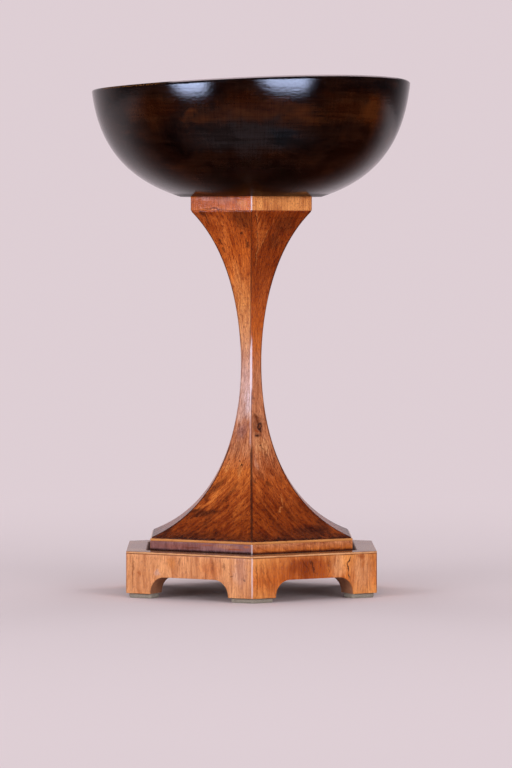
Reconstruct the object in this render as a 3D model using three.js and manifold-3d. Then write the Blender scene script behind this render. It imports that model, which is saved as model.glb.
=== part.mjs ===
// Pedestal bowl: a turned bowl on a veneered hexagonal stem, step and plinth, standing on six felt pads.
// Millimetres, +Z up. The origin is on the floor under the centre, and one corner of each hexagon faces -Y.
import * as THREE from "three";
import { mergeVertices } from "three/addons/utils/BufferGeometryUtils.js";
import Module from "manifold-3d";

// Heights, from the floor up
const PAD_THICKNESS = 4;
const PLINTH_HEIGHT = 35;
const STEP_HEIGHT = 10;
const STEM_HEIGHT = 275;
const CAP_HEIGHT = 12;
const BOWL_HEIGHT = 99.5;

// Widths across the flats of the hexagons, and across the round bowl
const PLINTH_WIDTH = 210;
const STEP_WIDTH = 170;
const CAP_WIDTH = 102;
const WAIST_WIDTH = 17.5;
const BOWL_WIDTH = 270;
const BOWL_BASE_WIDTH = 120;

// The stem's two flares meet at the waist. Each is a curve that leaves the waist upright and runs out to
// a thin lip, and its pulls say how far it keeps each of its two end directions, as shares of its height.
const WAIST_RISE = 146;
const FOOT_LEDGE = 1.3;
const HEAD_LEDGE = 0.7;
const LIP_HEIGHT = 1;
const FOOT_FLARE = { waistPull: 0.3, lipPull: 0.485, lipLean: 67.6 };
const HEAD_FLARE = { waistPull: 0.22, lipPull: 0.41, lipLean: 44.5 };

// The bowl's wall thins from its floor to its rounded rim
const BOWL_FLOOR = 14;
const RIM_THICKNESS = 4;
const BELLY = { basePull: 0.403, baseRise: 17.5, rimPull: 0.455, rimLean: 6.1 };

// Veneers, leaves and the glue lines behind them
const STEM_VENEER = 1;
const FACING = 1.5;
const STEP_LEAF = 2;
const PLINTH_LEAF = 1.5;
const GLUE_LINE = 0.3;

// The plinth's frame: a board on mitred rails, each sawn to an arch between two bracket feet
const BOARD_THICKNESS = 12;
const RAIL_THICKNESS = 18;
const FOOT_LENGTH = 23;
const ARCH_HEIGHT = 14.4;
const ARCH_SHOULDER = 13.5;

// Felt pads, drawn in from the edges of the feet
const PAD_OUTER_MARGIN = 2.5;
const PAD_INNER_MARGIN = 2;
const PAD_END_MARGIN = 0.6;
const PAD_ROUNDING = 3;

// Glued dowels that hold the stem to the bowl above and to the plinth below
const DOWEL_DIAMETER = 20;
const DOWEL_CLEARANCE = 0.2;
const DOWEL_IN_BOWL = 8;
const DOWEL_IN_STEM = 30;
const DOWEL_IN_BOARD = 9;

// Fineness of the curved surfaces
const BOWL_FACETS = 64;
const DOWEL_FACETS = 24;
const FLARE_STEPS = 14;
const BELLY_STEPS = 16;
const ROUND_STEPS = 5;

// Levels worked out from the heights
const PLINTH_BOTTOM = PAD_THICKNESS;
const PLINTH_TOP = PLINTH_BOTTOM + PLINTH_HEIGHT;
const BOARD_TOP = PLINTH_TOP - PLINTH_LEAF;
const BOARD_BOTTOM = BOARD_TOP - BOARD_THICKNESS;
const STEP_TOP = PLINTH_TOP + STEP_HEIGHT;
const STEM_TOP = STEP_TOP + STEM_HEIGHT;
const CAP_TOP = STEM_TOP + CAP_HEIGHT;

const SIXTH_TURN = Math.PI / 3;
const HALF_FACE = Math.PI / 6;
const CUTTER_MARGIN = 5;

const FACES = ["front_right", "right", "back_right", "back_left", "left", "front_left"];
const CORNERS = ["front", "front_right", "back_right", "back", "back_left", "front_left"];

const FINISHES = {
  bowl: { color: 0x1d1412, roughness: 0.16, metalness: 0 },
  stem: { color: 0x8a4519, roughness: 0.3, metalness: 0 },
  step: { color: 0x8c4727, roughness: 0.32, metalness: 0 },
  cap: { color: 0xb9783f, roughness: 0.35, metalness: 0 },
  plinth: { color: 0xc07c41, roughness: 0.35, metalness: 0 },
  leaf: { color: 0xd08a4c, roughness: 0.3, metalness: 0 },
  core: { color: 0xb08d62, roughness: 0.7, metalness: 0 },
  felt: { color: 0x75807a, roughness: 0.95, metalness: 0 },
};

const wasm = await Module();
wasm.setup();

// A closed mesh as a solid that can be cut.
function toSolid(geometry) {
  const bare = geometry.clone();
  bare.deleteAttribute("normal");
  bare.deleteAttribute("uv");
  const merged = mergeVertices(bare);
  const vertProperties = merged.getAttribute("position").array;
  const triVerts = new Uint32Array(merged.index.array);
  return new wasm.Manifold(new wasm.Mesh({ numProp: 3, vertProperties, triVerts }));
}

// A solid as a mesh again.
function toGeometry(solid) {
  const { vertProperties, triVerts } = solid.getMesh();
  const shared = new THREE.BufferGeometry();
  shared.setAttribute("position", new THREE.BufferAttribute(vertProperties, 3));
  shared.setIndex(new THREE.BufferAttribute(triVerts, 1));
  const flat = shared.toNonIndexed();
  flat.computeVertexNormals();
  return flat;
}

function pieceOf(name, geometry, finish) {
  const mesh = new THREE.Mesh(geometry, new THREE.MeshStandardMaterial(FINISHES[finish]));
  mesh.name = name;
  return mesh;
}

// Half a hexagon's width across the corners, from half its width across the flats.
function cornerRadius(halfWidth) {
  return halfWidth / Math.cos(HALF_FACE);
}

// A hexagon with a corner to -Y.
function hexagon(halfWidth) {
  const corners = CORNERS.map((_, i) => {
    const angle = i * SIXTH_TURN - Math.PI / 2;
    const radius = cornerRadius(halfWidth);
    return new THREE.Vector2(radius * Math.cos(angle), radius * Math.sin(angle));
  });
  return new THREE.Shape(corners);
}

// A slab of that outline, from one level up to another.
function slab(shape, bottom, top) {
  const options = { depth: top - bottom, bevelEnabled: false, curveSegments: ROUND_STEPS };
  return new THREE.ExtrudeGeometry(shape, options).translate(0, 0, bottom);
}

// A solid of revolution about +Z, from profile points (radius, height) that start and end on the axis.
function turned(profile, facets) {
  return new THREE.LatheGeometry(profile, facets).rotateX(Math.PI / 2);
}

// A hexagonal solid with a corner to -Y, from points (half width, height). It is closed at both ends.
function hexagonalLoft(outline) {
  const first = outline[0];
  const last = outline[outline.length - 1];
  const sides = outline.map((p) => new THREE.Vector2(cornerRadius(p.x), p.y));
  return turned([new THREE.Vector2(0, first.y), ...sides, new THREE.Vector2(0, last.y)], 6);
}

// A round bar or a round cutter between two levels.
function bar(radius, bottom, top) {
  const cylinder = new THREE.CylinderGeometry(radius, radius, top - bottom, DOWEL_FACETS);
  return cylinder.rotateX(Math.PI / 2).translate(0, 0, (bottom + top) / 2);
}

// The six copies of a piece made for the place facing -Y, each turned to its own face or corner.
function placeRound(group, prefix, places, startAngle, geometry, finish) {
  places.forEach((place, i) => {
    const holder = new THREE.Group();
    holder.rotation.z = startAngle + i * SIXTH_TURN;
    holder.add(pieceOf(`${prefix}_${place}`, geometry, finish));
    group.add(holder);
  });
}

function placeOnFaces(group, prefix, geometry, finish) {
  placeRound(group, prefix, FACES, HALF_FACE, geometry, finish);
}

// A board standing on the face at -Y, its ends mitred to meet its neighbours with a glue line between.
function mitredBoard(outerHalfWidth, thickness, bottom, top) {
  const slope = Math.tan(HALF_FACE);
  const gap = GLUE_LINE / 2 / Math.cos(HALF_FACE);
  const innerHalfWidth = outerHalfWidth - thickness;
  const outer = outerHalfWidth * slope - gap;
  const inner = innerHalfWidth * slope - gap;
  const plan = new THREE.Shape();
  plan.moveTo(-outer, -outerHalfWidth);
  plan.lineTo(outer, -outerHalfWidth);
  plan.lineTo(inner, -innerHalfWidth);
  plan.lineTo(-inner, -innerHalfWidth);
  plan.closePath();
  return slab(plan, bottom, top);
}

// The sector of the plan that belongs to the face at -Y, less half a glue line on both sides.
function faceSector(reach, bottom, top) {
  const half = reach * Math.tan(HALF_FACE);
  const plan = new THREE.Shape();
  plan.moveTo(0, -GLUE_LINE);
  plan.lineTo(-half, -GLUE_LINE - reach);
  plan.lineTo(half, -GLUE_LINE - reach);
  plan.closePath();
  return slab(plan, bottom, top);
}

// The dowel hole that runs through a piece.
function drilled(geometry, bottom, top) {
  const drill = bar(DOWEL_DIAMETER / 2 + DOWEL_CLEARANCE, bottom, top);
  return toGeometry(toSolid(geometry).subtract(toSolid(drill)));
}

// The flat-topped arch with quarter-round shoulders, as a cutter right through the face at -Y.
function archCutter() {
  const faceWidth = 2 * (PLINTH_WIDTH / 2) * Math.tan(HALF_FACE);
  const half = faceWidth / 2 - FOOT_LENGTH;
  const shoulder = Math.min(ARCH_SHOULDER, ARCH_HEIGHT, half);
  const spring = ARCH_HEIGHT - shoulder;
  const outline = new THREE.Shape();
  outline.moveTo(-half, -CUTTER_MARGIN);
  outline.lineTo(half, -CUTTER_MARGIN);
  outline.absarc(half - shoulder, spring, shoulder, 0, Math.PI / 2, false);
  outline.absarc(shoulder - half, spring, shoulder, Math.PI / 2, Math.PI, false);
  outline.closePath();
  const depth = FACING + GLUE_LINE + RAIL_THICKNESS + 2 * CUTTER_MARGIN;
  const options = { depth, bevelEnabled: false, curveSegments: 2 * ROUND_STEPS };
  const cutter = new THREE.ExtrudeGeometry(outline, options).rotateX(Math.PI / 2);
  return cutter.translate(0, depth - CUTTER_MARGIN - PLINTH_WIDTH / 2, PLINTH_BOTTOM);
}

function arched(geometry) {
  return toGeometry(toSolid(geometry).subtract(toSolid(archCutter())));
}

// One flare as points on the middle line of a face: x is the half width, y the height over the step, and
// spread says how much further than its depth a veneer's back lies inwards where the face leans out.
function flarePoints(lipHalfWidth, lipRise, { waistPull, lipPull, lipLean }) {
  const waist = new THREE.Vector2(WAIST_WIDTH / 2, WAIST_RISE);
  const lip = new THREE.Vector2(lipHalfWidth, lipRise);
  const run = lipRise - WAIST_RISE;
  const lean = THREE.MathUtils.degToRad(lipLean);
  const curve = new THREE.CubicBezierCurve(
    waist,
    new THREE.Vector2(waist.x, waist.y + waistPull * run),
    new THREE.Vector2(lip.x - lipPull * Math.abs(run) * Math.sin(lean), lip.y - lipPull * run * Math.cos(lean)),
    lip,
  );
  return Array.from({ length: FLARE_STEPS + 1 }, (_, i) => {
    const point = curve.getPoint(i / FLARE_STEPS);
    const spread = 1 / Math.abs(curve.getTangent(i / FLARE_STEPS).y);
    return { x: point.x, y: point.y, spread };
  });
}

// The stem's outline from foot to head, a depth below its surface.
function stemOutline(depth) {
  const foot = flarePoints(STEP_WIDTH / 2 - FOOT_LEDGE, LIP_HEIGHT, FOOT_FLARE).reverse();
  const head = flarePoints(CAP_WIDTH / 2 - HEAD_LEDGE, STEM_HEIGHT - LIP_HEIGHT, HEAD_FLARE);
  const flares = [...foot, ...head.slice(1)];
  const lips = [{ ...flares[0], y: 0 }, ...flares, { ...flares[flares.length - 1], y: STEM_HEIGHT }];
  return lips.map(({ x, y, spread }) => new THREE.Vector2(x - depth * spread, STEP_TOP + y));
}

// The same outline run on past both ends, for cutting.
function longer(outline) {
  const first = outline[0];
  const last = outline[outline.length - 1];
  const below = new THREE.Vector2(first.x, first.y - CUTTER_MARGIN);
  const above = new THREE.Vector2(last.x, last.y + CUTTER_MARGIN);
  return [below, ...outline, above];
}

// Stem: a solid core under six leaves of veneer, each bent to one concave face.
function buildStem() {
  const stem = new THREE.Group();
  const core = hexagonalLoft(stemOutline(STEM_VENEER + GLUE_LINE));
  const footDrill = bar(DOWEL_DIAMETER / 2 + DOWEL_CLEARANCE, STEP_TOP - CUTTER_MARGIN, STEP_TOP + DOWEL_IN_STEM);
  const headDrill = bar(DOWEL_DIAMETER / 2 + DOWEL_CLEARANCE, STEM_TOP - DOWEL_IN_STEM, STEM_TOP + CUTTER_MARGIN);
  const drilledCore = toSolid(core).subtract(toSolid(footDrill)).subtract(toSolid(headDrill));
  stem.add(pieceOf("stem_core", toGeometry(drilledCore), "core"));

  const skin = toSolid(hexagonalLoft(stemOutline(0)).rotateZ(HALF_FACE))
    .subtract(toSolid(hexagonalLoft(longer(stemOutline(STEM_VENEER))).rotateZ(HALF_FACE)));
  const sector = toSolid(faceSector(STEP_WIDTH, STEP_TOP - CUTTER_MARGIN, STEM_TOP + CUTTER_MARGIN));
  placeOnFaces(stem, "stem_veneer", toGeometry(skin.intersect(sector)), "stem");
  return stem;
}

// A hexagonal block faced on its six sides, as the cap and the step are.
function buildFacedBlock(name, width, bottom, top, finish) {
  const block = new THREE.Group();
  const core = slab(hexagon(width / 2 - FACING - GLUE_LINE), bottom, top);
  const through = drilled(core, bottom - CUTTER_MARGIN, top + CUTTER_MARGIN);
  block.add(pieceOf(`${name}_core`, through, "core"));
  placeOnFaces(block, `${name}_facing`, mitredBoard(width / 2, FACING, bottom, top), finish);
  return block;
}

// Step: a faced block under a leaf whose light edge shows above the facings.
function buildStep() {
  const step = buildFacedBlock("step", STEP_WIDTH, PLINTH_TOP, STEP_TOP - STEP_LEAF, "step");
  const leaf = slab(hexagon(STEP_WIDTH / 2), STEP_TOP - STEP_LEAF, STEP_TOP);
  const bored = drilled(leaf, STEP_TOP - STEP_LEAF - CUTTER_MARGIN, STEP_TOP + CUTTER_MARGIN);
  step.add(pieceOf("step_top_leaf", bored, "leaf"));
  return step;
}

// Plinth: a board on six arched rails, faced all round and covered by a leaf.
function buildPlinth() {
  const plinth = new THREE.Group();
  const frameHalfWidth = PLINTH_WIDTH / 2 - FACING - GLUE_LINE;
  const board = slab(hexagon(frameHalfWidth), BOARD_BOTTOM, BOARD_TOP);
  const boredBoard = drilled(board, BOARD_TOP - DOWEL_IN_BOARD, BOARD_TOP + CUTTER_MARGIN);
  plinth.add(pieceOf("plinth_board", boredBoard, "core"));

  const leaf = slab(hexagon(PLINTH_WIDTH / 2), BOARD_TOP, PLINTH_TOP);
  const boredLeaf = drilled(leaf, BOARD_TOP - CUTTER_MARGIN, PLINTH_TOP + CUTTER_MARGIN);
  plinth.add(pieceOf("plinth_top_leaf", boredLeaf, "leaf"));

  const rail = mitredBoard(frameHalfWidth, RAIL_THICKNESS, PLINTH_BOTTOM, BOARD_BOTTOM);
  placeOnFaces(plinth, "plinth_rail", arched(rail), "core");
  const facing = mitredBoard(PLINTH_WIDTH / 2, FACING, PLINTH_BOTTOM, BOARD_TOP);
  placeOnFaces(plinth, "plinth_facing", arched(facing), "plinth");
  return plinth;
}

// A closed outline through these corners, each rounded off.
function roundedOutline(corners, rounding) {
  const outline = new THREE.Shape();
  corners.forEach((corner, i) => {
    const before = corners[(i + corners.length - 1) % corners.length];
    const after = corners[(i + 1) % corners.length];
    const entry = corner.clone().add(before.clone().sub(corner).setLength(rounding));
    const exit = corner.clone().add(after.clone().sub(corner).setLength(rounding));
    if (i === 0) outline.moveTo(entry.x, entry.y);
    else outline.lineTo(entry.x, entry.y);
    outline.quadraticCurveTo(corner.x, corner.y, exit.x, exit.y);
  });
  outline.closePath();
  return outline;
}

// A chevron of felt under the bracket foot at the corner facing -Y, its two arms along the rails.
function padGeometry() {
  const along = new THREE.Vector2(Math.cos(HALF_FACE), Math.sin(HALF_FACE));
  const inward = new THREE.Vector2(-Math.sin(HALF_FACE), Math.cos(HALF_FACE));
  const footDepth = FACING + GLUE_LINE + RAIL_THICKNESS;
  const corner = new THREE.Vector2(0, -cornerRadius(PLINTH_WIDTH / 2));
  const armEnd = FOOT_LENGTH - PAD_END_MARGIN;
  const innerReach = footDepth - PAD_INNER_MARGIN;
  const outerEnd = corner.clone().addScaledVector(along, armEnd).addScaledVector(inward, PAD_OUTER_MARGIN);
  const innerEnd = corner.clone().addScaledVector(along, armEnd).addScaledVector(inward, innerReach);
  const outerCorner = corner.clone().add(new THREE.Vector2(0, cornerRadius(PAD_OUTER_MARGIN)));
  const innerCorner = corner.clone().add(new THREE.Vector2(0, cornerRadius(innerReach)));
  const mirrored = (p) => new THREE.Vector2(-p.x, p.y);
  const corners = [outerCorner, outerEnd, innerEnd, innerCorner, mirrored(innerEnd), mirrored(outerEnd)];
  return slab(roundedOutline(corners, PAD_ROUNDING), 0, PAD_THICKNESS);
}

// The bowl's outer curve from the edge of its flat base to the start of its rounded rim.
function bellyCurve() {
  const rise = THREE.MathUtils.degToRad(BELLY.baseRise);
  const lean = THREE.MathUtils.degToRad(BELLY.rimLean);
  const base = new THREE.Vector2(BOWL_BASE_WIDTH / 2, 0);
  const rim = new THREE.Vector2(BOWL_WIDTH / 2, BOWL_HEIGHT - RIM_THICKNESS / 2);
  const basePull = BELLY.basePull * BOWL_WIDTH / 2;
  const rimPull = BELLY.rimPull * BOWL_HEIGHT;
  return new THREE.CubicBezierCurve(
    base,
    new THREE.Vector2(base.x + basePull * Math.cos(rise), basePull * Math.sin(rise)),
    new THREE.Vector2(rim.x - rimPull * Math.sin(lean), rim.y - rimPull * Math.cos(lean)),
    rim,
  );
}

// Bowl: turned from one block, its inside following the outside at the wall's thickness.
function buildBowl() {
  const curve = bellyCurve();
  const steps = Array.from({ length: BELLY_STEPS + 1 }, (_, i) => i / BELLY_STEPS);
  const outside = steps.map((t) => curve.getPoint(t));
  const inside = steps.map((t) => {
    const wall = THREE.MathUtils.lerp(BOWL_FLOOR, RIM_THICKNESS, t);
    const tangent = curve.getTangent(t);
    return curve.getPoint(t).add(new THREE.Vector2(-tangent.y, tangent.x).multiplyScalar(wall));
  });
  const rimRadius = RIM_THICKNESS / 2;
  const rimCentre = new THREE.Vector2(BOWL_WIDTH / 2 - rimRadius, BOWL_HEIGHT - rimRadius);
  const rim = Array.from({ length: ROUND_STEPS }, (_, i) => {
    const angle = ((i + 1) / (ROUND_STEPS + 1)) * Math.PI;
    const offset = new THREE.Vector2(Math.cos(angle), Math.sin(angle)).multiplyScalar(rimRadius);
    return rimCentre.clone().add(offset);
  });
  const socket = DOWEL_DIAMETER / 2 + DOWEL_CLEARANCE;
  const profile = [
    new THREE.Vector2(0, DOWEL_IN_BOWL),
    new THREE.Vector2(socket, DOWEL_IN_BOWL),
    new THREE.Vector2(socket, 0),
    ...outside,
    ...rim,
    ...inside.reverse(),
    new THREE.Vector2(0, BOWL_FLOOR),
  ];
  return pieceOf("bowl", turned(profile, BOWL_FACETS).translate(0, 0, CAP_TOP), "bowl");
}

// Dowels: one joins the bowl, cap and stem, the other the stem, step and plinth board.
function buildDowels() {
  const dowels = new THREE.Group();
  const radius = DOWEL_DIAMETER / 2;
  const head = bar(radius, STEM_TOP - DOWEL_IN_STEM + GLUE_LINE, CAP_TOP + DOWEL_IN_BOWL - GLUE_LINE);
  const foot = bar(radius, BOARD_TOP - DOWEL_IN_BOARD + GLUE_LINE, STEP_TOP + DOWEL_IN_STEM - GLUE_LINE);
  dowels.add(pieceOf("head_dowel", head, "core"), pieceOf("foot_dowel", foot, "core"));
  return dowels;
}

const pedestalBowl = new THREE.Group();
placeRound(pedestalBowl, "felt_pad", CORNERS, 0, padGeometry(), "felt");
pedestalBowl.add(
  buildPlinth(),
  buildStep(),
  buildStem(),
  buildFacedBlock("cap", CAP_WIDTH, STEM_TOP, CAP_TOP, "cap"),
  buildBowl(),
  buildDowels(),
);

export default pedestalBowl;
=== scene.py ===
"""Looks of a pedestal bowl: a dark turned bowl on a veneered hexagonal stem, a step and an arched plinth.

Lengths are in metres, and one corner of each hexagon faces -Y. A piece of a hexagon is worked out for the
face or the corner that looks along -Y, and then turned to its own place.
"""

import logging
import math
from dataclasses import dataclass, replace
from enum import Enum
from typing import Any, Protocol

import bpy
import numpy as np
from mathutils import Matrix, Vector
from numpy.typing import NDArray


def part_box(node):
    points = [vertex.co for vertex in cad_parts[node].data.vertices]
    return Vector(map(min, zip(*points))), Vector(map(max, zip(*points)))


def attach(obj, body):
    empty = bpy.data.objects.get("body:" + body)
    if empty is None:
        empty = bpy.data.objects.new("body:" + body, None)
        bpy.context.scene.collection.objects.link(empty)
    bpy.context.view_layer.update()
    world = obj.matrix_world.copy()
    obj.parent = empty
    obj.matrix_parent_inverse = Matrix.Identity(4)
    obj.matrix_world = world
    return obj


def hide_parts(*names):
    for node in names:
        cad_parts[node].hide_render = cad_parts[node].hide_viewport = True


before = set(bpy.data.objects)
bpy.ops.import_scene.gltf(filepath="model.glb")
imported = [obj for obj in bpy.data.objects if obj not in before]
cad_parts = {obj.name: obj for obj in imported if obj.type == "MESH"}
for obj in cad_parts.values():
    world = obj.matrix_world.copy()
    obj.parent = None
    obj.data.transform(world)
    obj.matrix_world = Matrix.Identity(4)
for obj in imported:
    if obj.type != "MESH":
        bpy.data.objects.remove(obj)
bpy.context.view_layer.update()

log = logging.getLogger("pedestal_bowl")

Points = NDArray[np.float64]
Tone = tuple[float, float, float]

MM = 0.001
HALF_FACE = math.pi / 6
SIXTH_TURN = math.pi / 3
SLOPE = math.tan(HALF_FACE)
JOINT = 0.03 * MM
SHARP_EDGE = math.radians(40)

# Levels of the CAD pieces
PLINTH_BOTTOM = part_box("plinth_facing_left")[0].z
BOARD_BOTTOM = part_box("plinth_board")[0].z
BOARD_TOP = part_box("plinth_board")[1].z
PLINTH_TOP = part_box("plinth_top_leaf")[1].z
STEP_LEAF_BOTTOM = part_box("step_top_leaf")[0].z
STEP_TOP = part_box("step_top_leaf")[1].z
STEM_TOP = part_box("stem_core")[1].z
CAP_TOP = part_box("cap_core")[1].z
RIM_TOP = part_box("bowl")[1].z

# Half the hexagons' widths across the flats, and the other sizes that several pieces share
CAP_HALF = 51 * MM
STEP_HALF = 85 * MM
PLINTH_HALF = 105 * MM
RAIL_HALF = 103.2 * MM
FACING = 1.5 * MM
RAIL = 18 * MM
FOOT_LENGTH = 23 * MM
DOWEL_HOLE = 10.2 * MM

# Steps round an eased edge, rows over a flat face of a top leaf, and steps round a studio sheet
EASED_STEPS = 4
FLAT_ROWS = 6
SHEET_STEPS = 128

# Tones of the veneers
SOOT = (0.040, 0.010, 0.006)
UMBER = (0.14, 0.027, 0.005)
CHESTNUT = (0.27, 0.046, 0.004)
RUSSET = (0.40, 0.083, 0.012)
COPPER = (0.54, 0.20, 0.088)
SIENNA = (0.46, 0.14, 0.050)
PLUM = (0.28, 0.12, 0.115)
RUST = (0.50, 0.108, 0.012)
AMBER = (0.58, 0.152, 0.026)
HONEY = (0.69, 0.26, 0.072)
TAN = (0.68, 0.30, 0.130)
ROSE = (0.61, 0.33, 0.245)
# A pale lilac that paints sheen and highlights on the polish: on rounded arrises, the stem's waist, the cap
# and the bowl's rim
PAINTED_SHEEN = (0.72, 0.58, 0.62)

# Tones of the bowl and of the rails
GILT = (0.34, 0.13, 0.03)
GLOW = (0.044, 0.0132, 0.0042)
EMBER = (0.095, 0.026, 0.005)
# The next three tones are painted: a bluish and a greyish reflection, and shade on the bowl's base
BLUE_REFLECTION = (0.006, 0.008, 0.012)
VEIL_REFLECTION = (0.019, 0.0145, 0.0155)
BASE_SHADE = (0.005, 0.0022, 0.0018)
RAIL_LIGHT = (0.32, 0.13, 0.06)
RAIL_DARK = (0.16, 0.055, 0.025)

# Factors that a wash multiplies a tone by
LIGHTER = (1.28, 1.42, 1.45)
DARKER = (0.66, 0.50, 0.42)
DARKEST = (0.42, 0.26, 0.20)


class Side(Enum):
    """A face of the hexagons, named by the way it looks."""

    FRONT_RIGHT = "front_right"
    RIGHT = "right"
    BACK_RIGHT = "back_right"
    BACK_LEFT = "back_left"
    LEFT = "left"
    FRONT_LEFT = "front_left"

    @property
    def turn(self) -> float:
        """The angle from the place that looks along -Y to this face."""
        return HALF_FACE + list(Side).index(self) * SIXTH_TURN


class Corner(Enum):
    """A corner of the hexagons, named by where it is."""

    FRONT = "front"
    FRONT_RIGHT = "front_right"
    BACK_RIGHT = "back_right"
    BACK = "back"
    BACK_LEFT = "back_left"
    FRONT_LEFT = "front_left"

    @property
    def turn(self) -> float:
        """The angle from the corner that points along -Y to this one."""
        return list(Corner).index(self) * SIXTH_TURN


class Wire:
    """A number that varies over a surface: an output of a node, with Python's arithmetic on it."""

    def __init__(self, bench: "Bench", socket: bpy.types.NodeSocket) -> None:
        """Keeps the output and the bench that it is on."""
        self.bench = bench
        self.socket = socket

    def __add__(self, other: "Wire | float") -> "Wire":
        """The sum."""
        return self.bench.maths("ADD", self, other)

    def __sub__(self, other: "Wire | float") -> "Wire":
        """The difference."""
        return self.bench.maths("SUBTRACT", self, other)

    def __rsub__(self, other: float) -> "Wire":
        """The difference, with the number first."""
        return self.bench.maths("SUBTRACT", other, self)

    def __mul__(self, other: "Wire | float") -> "Wire":
        """The product."""
        return self.bench.maths("MULTIPLY", self, other)

    def __truediv__(self, other: "Wire | float") -> "Wire":
        """The quotient."""
        return self.bench.maths("DIVIDE", self, other)

    def __abs__(self) -> "Wire":
        """The size without the sign."""
        return self.bench.maths("ABSOLUTE", self, 0.0)

    __radd__ = __add__
    __rmul__ = __mul__

    def ease(self, low: float, high: float) -> "Wire":
        """A smooth step that is 0 at low and 1 at high, which may be the lower number of the two."""
        if low > high:
            return 1.0 - self.ease(high, low)
        ends = {"Value": self, "From Min": low, "From Max": high}
        return self.bench.node("ShaderNodeMapRange", {"interpolation_type": "SMOOTHSTEP"}, ends)

    def most(self, other: "Wire | float") -> "Wire":
        """The larger of the two."""
        return self.bench.maths("MAXIMUM", self, other)


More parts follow.
